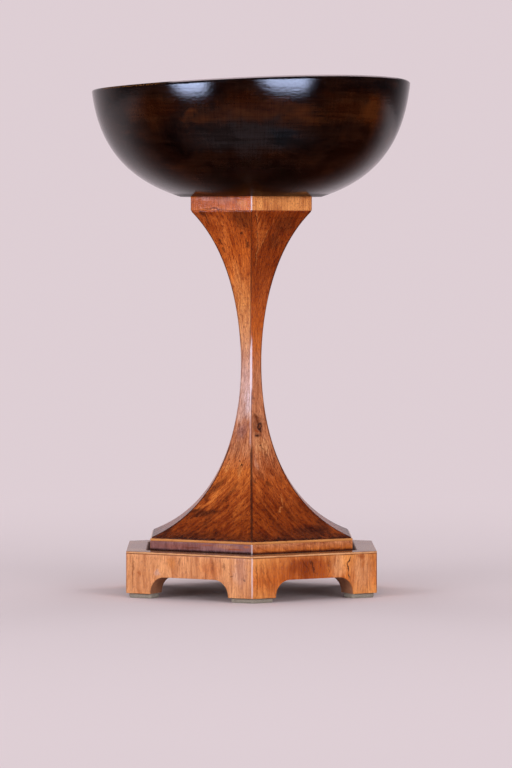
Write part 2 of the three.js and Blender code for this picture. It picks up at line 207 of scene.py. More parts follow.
class Bench:
    """The node tree of one material, where its finish is put together."""

    def __init__(self, name: str) -> None:
        """Starts an empty material.

        Args:
            name: The material's name.
        """
        self.material = bpy.data.materials.new(name)
        self.material.use_nodes = True
        self.tree = self.material.node_tree
        self.tree.nodes.clear()

    def node(
        self,
        kind: str,
        settings: dict[str, Any] | None = None,
        sockets: dict[int | str, Any] | None = None,
        output: int | str = 0,
    ) -> Wire:
        """Adds one node.

        Args:
            kind: Blender's name for the type of node.
            settings: The node's own settings, set before its sockets.
            sockets: For each input by name or number, a wire that feeds it or its fixed value.
            output: Which output to go on with.

        Returns:
            That output.
        """
        made = self.tree.nodes.new(kind)
        for key, value in (settings or {}).items():
            if key == "stops":
                self.grade(made.color_ramp.elements, value)
            else:
                setattr(made, key, value)
        for key, value in (sockets or {}).items():
            socket = made.inputs[key]
            if isinstance(value, Wire):
                self.tree.links.new(value.socket, socket)
            elif socket.type == "RGBA":
                socket.default_value = (*value, 1.0)
            else:
                socket.default_value = value
        return Wire(self, made.outputs[output] if made.outputs else None)

    @staticmethod
    def grade(ramp: bpy.types.ColorRampElements, stops: tuple[tuple[float, Tone], ...]) -> None:
        """Gives a colour ramp its stops.

        Args:
            ramp: The ramp's elements.
            stops: For each stop its place from 0 to 1 and its colour.
        """
        ramp.remove(ramp[-1])
        ramp[0].position, ramp[0].color = stops[0][0], (*stops[0][1], 1.0)
        for place, tone in stops[1:]:
            ramp.new(place).color = (*tone, 1.0)

    def maths(self, operation: str, first: Wire | float, second: Wire | float) -> Wire:
        """One Math node on two numbers."""
        return self.node("ShaderNodeMath", {"operation": operation}, {0: first, 1: second})

    def vector(self, operation: str, *parts: Wire | Tone) -> Wire:
        """One Vector Math node on up to three vectors."""
        return self.node("ShaderNodeVectorMath", {"operation": operation}, dict(enumerate(parts)))

    def place(self, name: str) -> tuple[Wire, Wire]:
        """The two coordinates of a piece's UV map of that name."""
        spot = self.node("ShaderNodeUVMap", {"uv_map": name})
        parts = self.node("ShaderNodeSeparateXYZ", sockets={0: spot})
        return parts, Wire(self, parts.socket.node.outputs[1])

    def room(self) -> tuple[Wire, Wire, Wire]:
        """The three Object coordinates."""
        spot = self.node("ShaderNodeTexCoord", output="Object")
        parts = self.node("ShaderNodeSeparateXYZ", sockets={0: spot})
        x, y, z = (Wire(self, out) for out in parts.socket.node.outputs)
        return x, y, z

    def pattern(
        self,
        place: tuple[Wire | float, ...],
        counts: tuple[float, ...],
        shift: tuple[float, ...] = (0.0, 0.0, 0.0),
        detail: float = 2.0,
        rough: float = 0.5,
        twist: float = 0.0,
    ) -> Wire:
        """Noise from 0 to 1 with so many features in one unit of each of its two or three coordinates.

        Args:
            place: The coordinates.
            counts: How many features there are in one unit of each.
            shift: How far the noise is moved along each, in features.
            detail: How many finer layers it has.
            rough: How strong the finer layers are.
            twist: How far it is swirled.

        Returns:
            The noise.
        """
        moved = [part * count for part, count in zip(place, counts)]
        moved = [part + step if step else part for part, step in zip(moved, shift)]
        spot = self.node("ShaderNodeCombineXYZ", sockets=dict(enumerate(moved)))
        kind = {"noise_dimensions": "2D" if len(place) == 2 else "3D"}
        look = {"Vector": spot, "Scale": 1.0, "Detail": detail, "Roughness": rough, "Distortion": twist}
        return self.node("ShaderNodeTexNoise", kind, look)

    def stirred(self, across: Wire, height: Wire, scale: float, reach: float) -> Wire:
        """A place as a vector, moved about by noise.

        Args:
            across: Its first coordinate.
            height: Its second coordinate.
            scale: How many swirls the noise has in a metre.
            reach: How far the noise moves it.

        Returns:
            The moved place.
        """
        place = self.node("ShaderNodeCombineXYZ", sockets={0: across, 1: height})
        swirl = {"Vector": place, "Scale": scale, "Detail": 3.0, "Roughness": 0.6}
        drift = self.node("ShaderNodeTexNoise", {"noise_dimensions": "2D"}, swirl, output="Color")
        shift = self.vector("MULTIPLY_ADD", drift, (reach, reach, 0), (-reach / 2, -reach / 2, 0))
        return self.vector("ADD", place, shift)

    def tint(self, under: Wire | Tone, over: Wire | Tone, mask: Wire | float, mode: str = "MIX") -> Wire:
        """Lays one colour over another where the mask is 1."""
        settings = {"data_type": "RGBA", "blend_type": mode, "clamp_factor": True, "clamp_result": False}
        return self.node("ShaderNodeMix", settings, {0: mask, 6: under, 7: over}, output=2)

    def coat(
        self, colour: Wire | Tone, rough: Wire | float, height: Wire | None = None, **gloss: float
    ) -> Wire:
        """Adds a Principled shader.

        Args:
            colour: The base colour.
            rough: The roughness.
            height: The relief in metres, or None for a smooth surface.
            gloss: Fixed values for the shader's other sockets, with _ for each space in their names.

        Returns:
            The shader.
        """
        sockets: dict[int | str, Any] = {"Base Color": colour, "Roughness": rough}
        sockets.update({name.replace("_", " "): value for name, value in gloss.items()})
        if height is not None:
            relief = {"Strength": 1.0, "Distance": 1.0, "Height": height}
            sockets["Normal"] = self.node("ShaderNodeBump", sockets=relief)
        return self.node("ShaderNodeBsdfPrincipled", sockets=sockets)

    def finish(self, shader: Wire) -> bpy.types.Material:
        """Ends the tree in that shader, and hands the material over."""
        self.node("ShaderNodeOutputMaterial", sockets={"Surface": shader})
        return self.material


def turned_round(points: Points, angle: float) -> Points:
    """Points turned about the Z axis, x' = x cos a - y sin a and y' = x sin a + y cos a."""
    cosine, sine = math.cos(angle), math.sin(angle)
    return points @ np.array([[cosine, sine, 0], [-sine, cosine, 0], [0, 0, 1]])


def bezier(ends: Points, count: int) -> tuple[Points, Points]:
    """A cubic curve, (1-t)^3 a + 3 (1-t)^2 t b + 3 (1-t) t^2 c + t^3 d.

    Args:
        ends: Its four points a, b, c and d.
        count: How many points to take.

    Returns:
        The points, and the directions of the curve there, of length 1.
    """
    t = np.linspace(0, 1, count)[:, None]
    a, b, c, d = ends
    curve = (1 - t) ** 3 * a + 3 * (1 - t) ** 2 * t * b + 3 * (1 - t) * t**2 * c + t**3 * d
    slope = (1 - t) ** 2 * (b - a) + 2 * (1 - t) * t * (c - b) + t**2 * (d - c)
    return curve, slope / np.linalg.norm(slope, axis=1, keepdims=True)


def put_in_scene(name: str, data: bpy.types.ID) -> bpy.types.Object:
    """A new object of that name with that data, linked to the scene."""
    made = bpy.data.objects.new(name, data)
    bpy.context.scene.collection.objects.link(made)
    return made


def mesh_piece(
    name: str, points: Points, faces: list[list[int]], maps: dict[str, Points]
) -> bpy.types.Object:
    """A closed mesh as a Blender object at the origin, smooth but for its sharp edges.

    The sum of a . (b x c) over the triangles a, b, c is six times the volume, and negative for a mesh that is
    inside out.

    Args:
        name: The object's name.
        points: Its vertices, n by 3.
        faces: The vertices of each face.
        maps: For each UV map, the coordinates of each vertex, n by 2.

    Returns:
        The object, with its faces pointing outwards.
    """
    mesh = bpy.data.meshes.new(name)
    mesh.from_pydata(points, [], faces)
    corners = np.empty(len(mesh.loops), np.int32)
    mesh.loops.foreach_get("vertex_index", corners)
    for key, values in maps.items():
        mesh.uv_layers.new(name=key).data.foreach_set("uv", values[corners].astype(np.float32).ravel())
    mesh.shade_smooth()
    mesh.set_sharp_from_angle(angle=SHARP_EDGE)
    mesh.calc_loop_triangles()
    triangles = np.empty(len(mesh.loop_triangles) * 3, np.int32)
    mesh.loop_triangles.foreach_get("vertices", triangles)
    a, b, c = points[triangles.reshape(-1, 3)].transpose(1, 0, 2)
    if np.einsum("ij,ij->", a, np.cross(b, c)) < 0:
        mesh.flip_normals()
    return put_in_scene(name, mesh)


def quads(grid: NDArray[np.int64]) -> list[list[int]]:
    """The quads between the neighbouring rows and columns of a grid of vertex numbers."""
    corners = [grid[:-1, :-1], grid[:-1, 1:], grid[1:, 1:], grid[1:, :-1]]
    return np.stack(corners, axis=-1).reshape(-1, 4).tolist()


def looped(grid: Points) -> NDArray[np.int64]:
    """The vertex numbers of a grid, rows by columns, with the first column once more at the end."""
    index = np.arange(grid.shape[0] * grid.shape[1]).reshape(grid.shape[:2])
    return np.hstack([index, index[:, :1]])


def shell(name: str, outer: Points, inner: Points, maps: dict[str, Points]) -> bpy.types.Object:
    """A closed body between two grids of the same size: both grids and a strip along each of their edges.

    Args:
        name: The object's name.
        outer: The outer surface, rows by columns by 3.
        inner: The surface behind it.
        maps: For each UV map, the coordinates over the outer grid, which the inner one shares.

    Returns:
        The object.
    """
    rows, columns = outer.shape[:2]
    front = np.arange(rows * columns).reshape(rows, columns)
    back = front + rows * columns
    ends = [(back[0], front[0]), (front[-1], back[-1])]
    sides = [(front[:, 0], back[:, 0]), (back[:, -1], front[:, -1])]
    faces = quads(front) + quads(back[:, ::-1])
    for pair in ends + sides:
        faces += quads(np.stack(pair))
    points = np.concatenate([outer.reshape(-1, 3), inner.reshape(-1, 3)])
    doubled = {key: np.tile(values.reshape(-1, 2), (2, 1)) for key, values in maps.items()}
    return mesh_piece(name, points, faces, doubled)


def ring(
    name: str,
    grid: Points,
    poles: tuple[float, float] | None = None,
    maps: dict[str, Points] | None = None,
) -> bpy.types.Object:
    """A closed body whose grid runs round the Z axis: the last column joins the first.

    Args:
        name: The object's name.
        grid: The surface, rows by columns by 3, the columns anticlockwise seen from above.
        poles: The heights of the points on the axis that close the first and the last row. Without them the
            last row joins the first.
        maps: For each UV map, the coordinates over the grid, rows by columns by 2.

    Returns:
        The object.
    """
    index = looped(grid)
    if poles is None:
        index = np.vstack([index, index[:1]])
    faces = quads(index)
    points = grid.reshape(-1, 3)
    spread = {key: values.reshape(-1, 2) for key, values in (maps or {}).items()}
    if poles is not None:
        first, last = len(points), len(points) + 1
        points = np.vstack([points, [[0, 0, poles[0]], [0, 0, poles[1]]]])
        spread = {key: np.vstack([values, values[:1], values[-1:]]) for key, values in spread.items()}
        faces += [[first, int(b), int(a)] for a, b in zip(index[0, :-1], index[0, 1:])]
        faces += [[last, int(a), int(b)] for a, b in zip(index[-1, :-1], index[-1, 1:])]
    return mesh_piece(name, points, faces, spread)


def seat(piece: bpy.types.Object, node: str, material: bpy.types.Material) -> None:
    """Gives a piece its finish, ties it to the frame and lets it stand for its CAD node.

    Args:
        piece: The new piece.
        node: The CAD node that it stands for.
        material: The finish.
    """
    piece.data.materials.append(material)
    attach(piece, "root")
    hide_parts(node)
    log.info("%s stands for %s, with %d faces", piece.name, node, len(piece.data.polygons))


def rounded_face(
    half: Points, radius: Points, straight: int = 22, curved: int = 7
) -> tuple[Points, Points, Points]:
    """The front of a hexagon's face, rounded off towards both arrises.

    On the flat part the depth is 0. Past it the line turns through 30 degrees on a circle, so that two faces
    meet in a smooth arris: s = L - r tan 30 + r sin a and depth = r (1 - cos a).

    Args:
        half: Half the face's width L for each row.
        radius: The arris's radius r for each row.
        straight: Steps over the flat part.
        curved: Steps over each arris.

    Returns:
        The place across the face, the depth under its plane and the distance walked from the face's middle,
        each rows by columns.
    """
    half, radius = half[:, None] - JOINT, radius[:, None]
    flat = half - radius * SLOPE
    turn = np.linspace(0, HALF_FACE, curved + 1)[1:][None, :]
    side, depth, walked = flat + radius * np.sin(turn), radius * (1 - np.cos(turn)), flat + radius * turn
    middle = flat * np.linspace(-1, 1, straight + 1)[None, :]
    return (
        np.hstack([-side[:, ::-1], middle, side]),
        np.hstack([depth[:, ::-1], 0 * middle, depth]),
        np.hstack([-walked[:, ::-1], middle, walked]),
    )


class Finish(Protocol):
    """What every finish can do."""

    def material(self) -> bpy.types.Material:
        """The finish as a material."""


# Shares of a mark's size: where its outline runs, how far that fades, and half the full line of a ring
OUTLINE = 0.75
FADE = 0.45
RING_LINE = 0.1


@dataclass(frozen=True)
class Mark:
    """A patch, streak or spot of another tone in the figure of one face, or a patch of painted sheen,
    reflection or shade.

    Attributes:
        across: Where its middle is, from the face's middle line to the right.
        height: Where its middle is, over the floor.
        width: Half its width.
        length: Half its length.
        tone: Its colour.
        strength: How much of its colour shows in its middle.
        lean: How far it leans to the right from upright, in degrees.
        ragged: How far noise breaks its outline, from 0 for a clean one.
        hollow: Whether it is a ring instead of a patch.
    """

    across: float
    height: float
    width: float
    length: float
    tone: Tone
    strength: float = 0.8
    lean: float = 0.0
    ragged: float = 0.6
    hollow: bool = False

    def lay(self, bench: Bench, under: Wire, place: Wire, noise: Wire) -> Wire:
        """Lays the mark over a colour.

        Its outline is an ellipse, (a / width)^2 + (b / length)^2 = c, where a and b are the place turned by
        the lean, and the noise moves that line in and out.

        Args:
            bench: The finish's bench.
            under: The colour so far.
            place: The place across the face and over the floor, as a vector.
            noise: The noise that breaks the outline.

        Returns:
            The new colour.
        """
        middle, size = (self.across, self.height, 0), (self.width, self.length, 1)
        lean = (0, 0, -math.radians(self.lean))
        turned = {"Vector": place, "Location": middle, "Rotation": lean, "Scale": size}
        own = bench.node("ShaderNodeMapping", {"vector_type": "TEXTURE"}, turned)
        reach = bench.node("ShaderNodeVectorMath", {"operation": "LENGTH"}, {0: own}, output="Value")
        reach = reach + noise * self.ragged
        outline = OUTLINE + 0.5 * self.ragged
        if self.hollow:
            inside = abs(reach - outline).ease(FADE, RING_LINE)
        else:
            inside = reach.ease(outline + FADE, outline - FADE)
        return bench.tint(under, self.tone, inside * self.strength)


@dataclass(frozen=True)
class ArrisLine:
    """A line along an arris: a dark one where the polish has gathered, or a pale one that is a painted
    highlight on the rounded arris.

    Attributes:
        side: -1 for the face's left arris and 1 for its right one.
        low: Where it begins, over the floor.
        high: Where it ends.
        width: How far it reaches in from the arris.
        tone: Its colour.
        strength: How much of its colour shows.
    """

    side: int
    low: float
    high: float
    width: float
    tone: Tone
    strength: float = 0.8

    def lay(self, bench: Bench, under: Wire, place: tuple[Wire, Wire], height: Wire, noise: Wire) -> Wire:
        """Lays the line over a colour, where the distance from its arris, moved by noise, is under its width.

        Args:
            bench: The finish's bench.
            under: The colour so far.
            place: The distance from the nearest arris, and the place across from -1 to 1.
            height: The height over the floor.
            noise: The noise that breaks the line's edge.

        Returns:
            The new colour.
        """
        distance, across = place
        fade, solid = 8 * MM, 0.3 * self.width
        here = (distance + (noise - 0.5) * self.width).ease(self.width, solid)
        here = here * (across * self.side).ease(0.0, 0.2)
        here = here * height.ease(self.low, self.low + fade) * height.ease(self.high, self.high - fade)
        return bench.tint(under, self.tone, here * self.strength)


@dataclass(frozen=True)
class Wash:
    """A layer that multiplies the colour under it where a pattern's level passes from one number to another.

    Attributes:
        factor: What it multiplies the colour by.
        start: The level of the pattern where it begins.
        full: The level where it is complete, which may be the lower one.
    """

    factor: Tone
    start: float
    full: float

    def lay(self, bench: Bench, under: Wire, pattern: Wire, *strengths: Wire | float) -> Wire:
        """Lays the wash over a colour.

        Args:
            bench: The finish's bench.
            under: The colour so far.
            pattern: The pattern that it follows.
            strengths: Its strengths, from 0 to 1, which are multiplied.

        Returns:
            The new colour.
        """
        mask = pattern.ease(self.start, self.full)
        for strength in strengths:
            mask = mask * strength
        return bench.tint(under, self.factor, mask, "MULTIPLY")


# Washes of the veneers
PALE_CLOUDS = Wash(LIGHTER, 0.5, 0.72)
DARK_CLOUDS = Wash(DARKER, 0.5, 0.28)
DARK_STREAKS = Wash(DARKER, 0.48, 0.7)
DARK_FIGURE = Wash(DARKER, 0.44, 0.66)
PALE_FIGURE = Wash(LIGHTER, 0.46, 0.3)
DARK_MOTTLING = Wash(DARKER, 0.5, 0.68)
PALE_MOTTLING = Wash(LIGHTER, 0.46, 0.3)
DARK_HAIRS = Wash(DARKER, 0.48, 0.68)
PALE_HAIRS = Wash(LIGHTER, 0.45, 0.2)

# Washes of the bowl and of a leaf's top face
DARK_STAIN = Wash(DARKER, 0.56, 0.4)
TURNING_LINES = Wash(DARKER, 0.4, 0.65)
TOP_RINGS = Wash(DARKER, 0.38, 0.62)
TOP_GRAIN = Wash(DARKER, 0.42, 0.66)
TOP_PALE_RINGS = Wash(LIGHTER, 0.5, 0.3)

# How often in a metre the patterns repeat that all veneers have, across and along the fibres
WAVES = (50, 20)
FIGURE_STREAKS = (420, 62)
MOTTLING = (450, 240)
HAIRS = (1100, 70)

# The same for the patterns that lie on the face, across it and up
SWIRLS = 110.0
RAGS = (400, 250)
RIPPLES = (90, 60, 1)

# How far the fibres wander, and between which heights the grain bends and the foot's own figure fades in
WANDER = 6 * MM
BEND_LEVELS = (130 * MM, 55 * MM)
FIGURE_LEVELS = (118 * MM, 84 * MM)


@dataclass(frozen=True)
class Grain:
    """The patterns in a leaf of veneer that its colour, its polish and its relief are made from.

    Attributes:
        across: The place across the face.
        height: The height over the floor.
        fibres: The places across the fibres, which wander and bend, and along them.
        clouds: The clouds.
        streaks: The streaks.
        pores: Where the pores are.
    """

    across: Wire
    height: Wire
    fibres: tuple[Wire, Wire]
    clouds: Wire
    streaks: Wire
    pores: Wire


@dataclass(frozen=True)
class Veneer:
    """A polished veneer: cloudy tones, darker streaks and fine pores along the fibres, and marks of its own.

    Attributes:
        bands: The leaf's main tones, each with its height over the floor, from the bottom up.
        name: The material's name.
        cloud: The clouds' width and length.
        streak: The streaks' width and length.
        fleck: The pores' width and length.
        clouds: How strong the clouds are.
        streaks: How strong the streaks are.
        flecks: How strong the pores are.
        roughness: The polish.
        shine: The shader's specular level.
        warp: How far noise moves the marks.
        blend: How far the clouds move the levels of the bands.
        mottle: How strong the fine mottling is.
        seed: Where in the noise the leaf was cut.
        sway: How far the grain bends to the left between 130 and 55 mm over the floor.
        slant: How far the figure near the foot leans to the right, in degrees.
        figure: How strong that figure is.
        marks: The marks that this leaf has.
        lines: The lines along its arrises.
    """

    bands: tuple[tuple[float, Tone], ...]
    name: str = "veneer"
    cloud: tuple[float, float] = (0.012, 0.030)
    streak: tuple[float, float] = (0.003, 0.030)
    fleck: tuple[float, float] = (0.0011, 0.0035)
    clouds: float = 0.8
    streaks: float = 0.6
    flecks: float = 0.6
    roughness: float = 0.27
    shine: float = 0.22
    warp: float = 7 * MM
    blend: float = 1 * MM
    mottle: float = 0.3
    seed: float = 0.0
    sway: float = 0.0
    slant: float = 0.0
    figure: float = 0.0
    marks: tuple[Mark, ...] = ()
    lines: tuple[ArrisLine, ...] = ()

    def material(self) -> bpy.types.Material:
        """The finish as a material for a piece with the UV maps Face, Fibre and Edge."""
        bench = Bench(self.name)
        grain = self.grain(bench)
        rough = grain.clouds * 0.08 + grain.pores * 0.12 + (self.roughness - 0.04)
        ripples = bench.pattern((grain.across, grain.height, self.seed), RIPPLES)
        relief = ripples * (0.04 * MM) - grain.pores * (0.01 * MM)
        colour = self.colour(bench, grain)
        return bench.finish(bench.coat(colour, rough, relief, Specular_IOR_Level=self.shine))

    def grain(self, bench: Bench) -> Grain:
        """The patterns of this leaf, each begun at the seed's place in the noise."""
        across, height = bench.place("Face")
        fibre, along = bench.place("Fibre")
        seed = self.seed
        wander = bench.pattern((fibre, along), WAVES, (seed, 0)) - 0.5
        fibres = (fibre + wander * WANDER + height.ease(*BEND_LEVELS) * self.sway, along)
        sizes = (self.cloud, self.streak, self.fleck)
        cloud, streak, fleck = ((1 / width, 1 / length) for width, length in sizes)
        clouds = bench.pattern(fibres, cloud, (seed, seed), detail=4, rough=0.6, twist=0.6)
        streaks = bench.pattern(fibres, streak, (3 * seed, seed), detail=3, rough=0.6)
        pores = bench.pattern(fibres, fleck, (seed, -seed), detail=1).ease(0.59, 0.68)
        return Grain(across, height, fibres, clouds, streaks, pores)

    def colour(self, bench: Bench, grain: Grain) -> Wire:
        """The leaf's colour: its main tones, marks, patterns from coarse to fine, and arris lines.

        Args:
            bench: The finish's bench.
            grain: The leaf's patterns.

        Returns:
            The colour.
        """
        place = bench.stirred(grain.across, grain.height, SWIRLS, self.warp)
        rags = bench.pattern((grain.across, grain.height), RAGS, (self.seed, 0), detail=3, rough=0.65)
        ragged = rags * 0.5 + grain.streaks * 0.5
        colour = self.main_tone(bench, grain.height + (grain.clouds - 0.5) * self.blend)
        for mark in self.marks:
            colour = mark.lay(bench, colour, place, ragged)
        foot = grain.height.ease(*FIGURE_LEVELS) * self.figure
        fine = 1.0 - foot * 0.75
        colour = PALE_CLOUDS.lay(bench, colour, grain.clouds, self.clouds)
        colour = DARK_CLOUDS.lay(bench, colour, grain.clouds, self.clouds)
        colour = DARK_STREAKS.lay(bench, colour, grain.streaks, fine, self.streaks)
        if self.figure:
            colour = self.foot_figure(bench, colour, grain, foot)
        colour = self.fine_figure(bench, colour, grain, fine)
        arris = bench.place("Edge")
        for arris_line in self.lines:
            colour = arris_line.lay(bench, colour, arris, grain.height, ragged)
        return colour

    def main_tone(self, bench: Bench, height: Wire) -> Wire:
        """The leaf's bands as one colour that changes smoothly with the height."""
        low, high = self.bands[0][0], self.bands[-1][0]
        stops = tuple(((level - low) / (high - low), tone) for level, tone in self.bands)
        share = (height - low) * (1 / (high - low))
        return bench.node("ShaderNodeValToRGB", {"stops": stops}, {0: share})

    def foot_figure(self, bench: Bench, under: Wire, grain: Grain, mask: Wire) -> Wire:
        """Lays slanted streaks, lighter and darker, over the leaf's lower end.

        Args:
            bench: The finish's bench.
            under: The colour so far.
            grain: The leaf's patterns.
            mask: Where and how strongly they show.

        Returns:
            The new colour.
        """
        lean = math.radians(self.slant)
        beside = grain.across * math.cos(lean) - grain.height * math.sin(lean)
        along = grain.across * math.sin(lean) + grain.height * math.cos(lean)
        shift = (self.seed, self.seed)
        swirls = bench.pattern((beside, along), FIGURE_STREAKS, shift, detail=4, rough=0.6, twist=0.5)
        colour = DARK_FIGURE.lay(bench, under, swirls, mask)
        return PALE_FIGURE.lay(bench, colour, swirls, mask, 0.6)

    def fine_figure(self, bench: Bench, under: Wire, grain: Grain, mask: Wire) -> Wire:
        """Lays the mottling, the hairs and the pores over a colour.

        Args:
            bench: The finish's bench.
            under: The colour so far.
            grain: The leaf's patterns.
            mask: Where and how strongly the hairs show.

        Returns:
            The new colour.
        """
        mottling = bench.pattern(grain.fibres, MOTTLING, detail=3, rough=0.7, twist=1.0)
        hairs = bench.pattern(grain.fibres, HAIRS, (self.seed, -self.seed), detail=1)
        colour = DARK_MOTTLING.lay(bench, under, mottling, self.mottle)
        colour = PALE_MOTTLING.lay(bench, colour, mottling, self.mottle * 0.7)
        colour = DARK_HAIRS.lay(bench, colour, hairs, mask, self.flecks)
        colour = PALE_HAIRS.lay(bench, colour, hairs, mask, self.flecks * 0.5)
        return bench.tint(colour, DARKEST, grain.pores * self.flecks, "MULTIPLY")


@dataclass(frozen=True)
class TurnedLacquer:
    """The bowl's finish: wood stained nearly black that glows amber in places, dull only near the base.

    Attributes:
        deep: The stain where it is thickest.
        brown: The usual tone.
        amber: The wood that glows through.
        roughness: The polish.
        radius: The bowl's radius, which turns angles round it into lengths.
        worn: From where to where round the front the rim's edge is worn down to the wood.
        marks: The places where the stain is thin or thick, and patches of painted reflection and painted
            shade, across from the front and over the floor.
        rim_highlight: From where to where a painted highlight runs along the rim's edge.
    """

    deep: Tone = (0.006, 0.003, 0.0028)
    brown: Tone = (0.014, 0.0050, 0.0028)
    amber: Tone = (0.070, 0.018, 0.003)
    roughness: float = 0.10
    radius: float = 135 * MM
    worn: tuple[float, float] = (-165 * MM, -70 * MM)
    marks: tuple[Mark, ...] = ()
    rim_highlight: tuple[float, float] = (-75 * MM, 165 * MM)

    def material(self) -> bpy.types.Material:
        """The finish as a material on Object coordinates, for a piece with the UV map Rim."""
        bench = Bench("bowl_lacquer")
        x, y, z = bench.room()
        from_rim, level = bench.place("Rim")
        radius = bench.maths("SQRT", x * x + y * y, 0.0) + 1 * MM
        across = bench.maths("ARCTAN2", x, y * -1.0) * self.radius
        rings = radius * 0.6 + z * 0.8
        hatch = bench.pattern((x / radius, y / radius, rings), (130, 130, 40), detail=2, rough=0.6)
        turned = bench.pattern((x, y, rings), (20, 20, 480), detail=2, rough=0.7)
        fine = bench.pattern((x, y, rings), (9, 9, 2400), detail=1)
        peel = bench.pattern((x, y, rings), (260, 260, 640), detail=4, rough=0.7)
        colour = self.stain(bench, (x, y, z), across)
        colour = TURNING_LINES.lay(bench, colour, hatch, 0.6)
        colour = TURNING_LINES.lay(bench, colour, turned, 0.75)
        colour = self.edge(bench, colour, across, from_rim)
        rough = turned * 0.05 + (self.roughness - 0.025)
        relief = turned * (0.03 * MM) + peel * (0.08 * MM) + fine * (0.004 * MM) + hatch * (0.02 * MM)
        polished = bench.coat(colour, rough, relief, Specular_IOR_Level=0.26)
        dull = bench.coat(colour, 0.35, Specular_IOR_Level=0.06)
        low = level.ease(40 * MM, 6 * MM) * abs(across).ease(95 * MM, 35 * MM)
        share = low.most(level.ease(3 * MM, 1 * MM)) * 0.85
        return bench.finish(bench.node("ShaderNodeMixShader", sockets={0: share, 1: polished, 2: dull}))

    def stain(self, bench: Bench, room: tuple[Wire, Wire, Wire], across: Wire) -> Wire:
        """The stained wood's colour, with its marks, some of which are painted reflection and painted shade.

        Args:
            bench: The finish's bench.
            room: The Object coordinates.
            across: The length round the bowl from the front.

        Returns:
            The colour.
        """
        mottle = bench.pattern(room, (26, 26, 60), detail=5, rough=0.62, twist=0.4)
        glow = bench.pattern(room, (14, 14, 34), (4, 0, 0), detail=4, rough=0.6)
        colour = bench.tint(self.deep, self.brown, mottle.ease(0.36, 0.62))
        colour = bench.tint(colour, self.amber, glow.ease(0.52, 0.75) * mottle.ease(0.4, 0.6) * 0.6)
        place = bench.stirred(across, room[2], 24.0, 40 * MM)
        for mark in self.marks:
            colour = mark.lay(bench, colour, place, mottle)
        return DARK_STAIN.lay(bench, colour, mottle)

    def edge(self, bench: Bench, under: Wire, across: Wire, from_rim: Wire) -> Wire:
        """Lays the worn stretch of the rim's edge and a painted highlight along its top over a colour.

        Args:
            bench: The finish's bench.
            under: The colour so far.
            across: The length round the bowl from the front.
            from_rim: The distance from the top of the rim.

        Returns:
            The new colour.
        """
        specks = bench.pattern((across, from_rim), (600, 500), detail=2, rough=0.6).ease(0.48, 0.6)
        start, end = self.worn
        worn = across.ease(start, start + 10 * MM) * across.ease(end, end - 15 * MM)
        colour = bench.tint(under, GILT, specks * worn * from_rim.ease(3.2 * MM, 2.2 * MM) * 0.5)
        # Painted highlight along the top of the rim's edge
        start, end = self.rim_highlight
        highlight = from_rim.ease(2.4 * MM, 1.4 * MM) * across.ease(start, start + 10 * MM)
        highlight = highlight * across.ease(end, end - 25 * MM)
        return bench.tint(colour, PAINTED_SHEEN, highlight * 0.6)


@dataclass(frozen=True)
class PlainWood:
    """Solid wood with its grain level or upright.

    Attributes:
        name: The material's name.
        light: Its light tone.
        dark: Its dark tone.
        roughness: Its roughness.
        upright: Whether the grain runs up instead.
        turn: The angle from the X axis to a level grain.
        open_grain: How open the grain is, from 0 for filled and polished.
        shine: The shader's specular level.
        top: The level and the tone of its top face, where that is darker than its edge.
        carries: Half the width of the hexagon that stands on it, round which the leaf is darkened by gathered
            dust and painted shade.
    """

    name: str
    light: Tone
    dark: Tone
    roughness: float
    upright: bool = False
    turn: float = 0.0
    open_grain: float = 1.0
    shine: float = 0.3
    top: tuple[float, Tone] | None = None
    carries: float = 0.0

    def material(self) -> bpy.types.Material:
        """The finish as a material on Object coordinates."""
        bench = Bench(self.name)
        x, y, z = bench.room()
        around = self.from_middle(x, y)
        upper = z.ease(self.top[0] - 0.4 * MM, self.top[0] - 0.05 * MM) if self.top else None
        cosine, sine = math.cos(self.turn), math.sin(self.turn)
        x, y = x * cosine + y * sine, y * cosine - x * sine
        place = (z, y, x) if self.upright else (x, y, z)
        grain = bench.pattern(place, (12, 260, 260), detail=3, rough=0.6)
        rings = bench.pattern(place, (6, 45, 45), detail=3, rough=0.55, twist=0.6)
        pores = bench.pattern(place, (220, 1500, 1500), detail=1).ease(0.6, 0.75)
        light = bench.tint(self.light, self.top[1], upper) if self.top else self.light
        colour = bench.tint(light, self.dark, rings.ease(0.4, 0.7) * 0.6)
        colour = bench.tint(colour, self.dark, grain.ease(0.5, 0.75) * 0.6)
        colour = bench.tint(colour, self.dark, pores * 0.5)
        if self.top:
            colour = TOP_RINGS.lay(bench, colour, rings, upper, 0.8)
            colour = TOP_GRAIN.lay(bench, colour, grain, upper, 0.8)
            colour = TOP_PALE_RINGS.lay(bench, colour, rings, upper, 0.8)
        relief = (grain * (0.04 * MM) - pores * (0.03 * MM)) * self.open_grain
        rough = grain * (0.1 * self.open_grain) + self.roughness
        if self.carries:
            # Darker in the corner round the hexagon above: gathered dust and painted shade
            dust_and_shade = around.ease(self.carries + 4.5 * MM, self.carries + 1.5 * MM)
            colour = bench.tint(colour, SOOT, dust_and_shade * 0.9)
            rough = rough + dust_and_shade * 0.6
        return bench.finish(bench.coat(colour, rough, relief, Specular_IOR_Level=self.shine))

    @staticmethod
    def from_middle(x: Wire, y: Wire) -> Wire:
        """Half the width of the hexagon through a place, the largest of |x sin a - y cos a|."""
        sides = [abs(x * math.sin(face.turn) - y * math.cos(face.turn)) for face in list(Side)[:3]]
        return sides[0].most(sides[1]).most(sides[2])


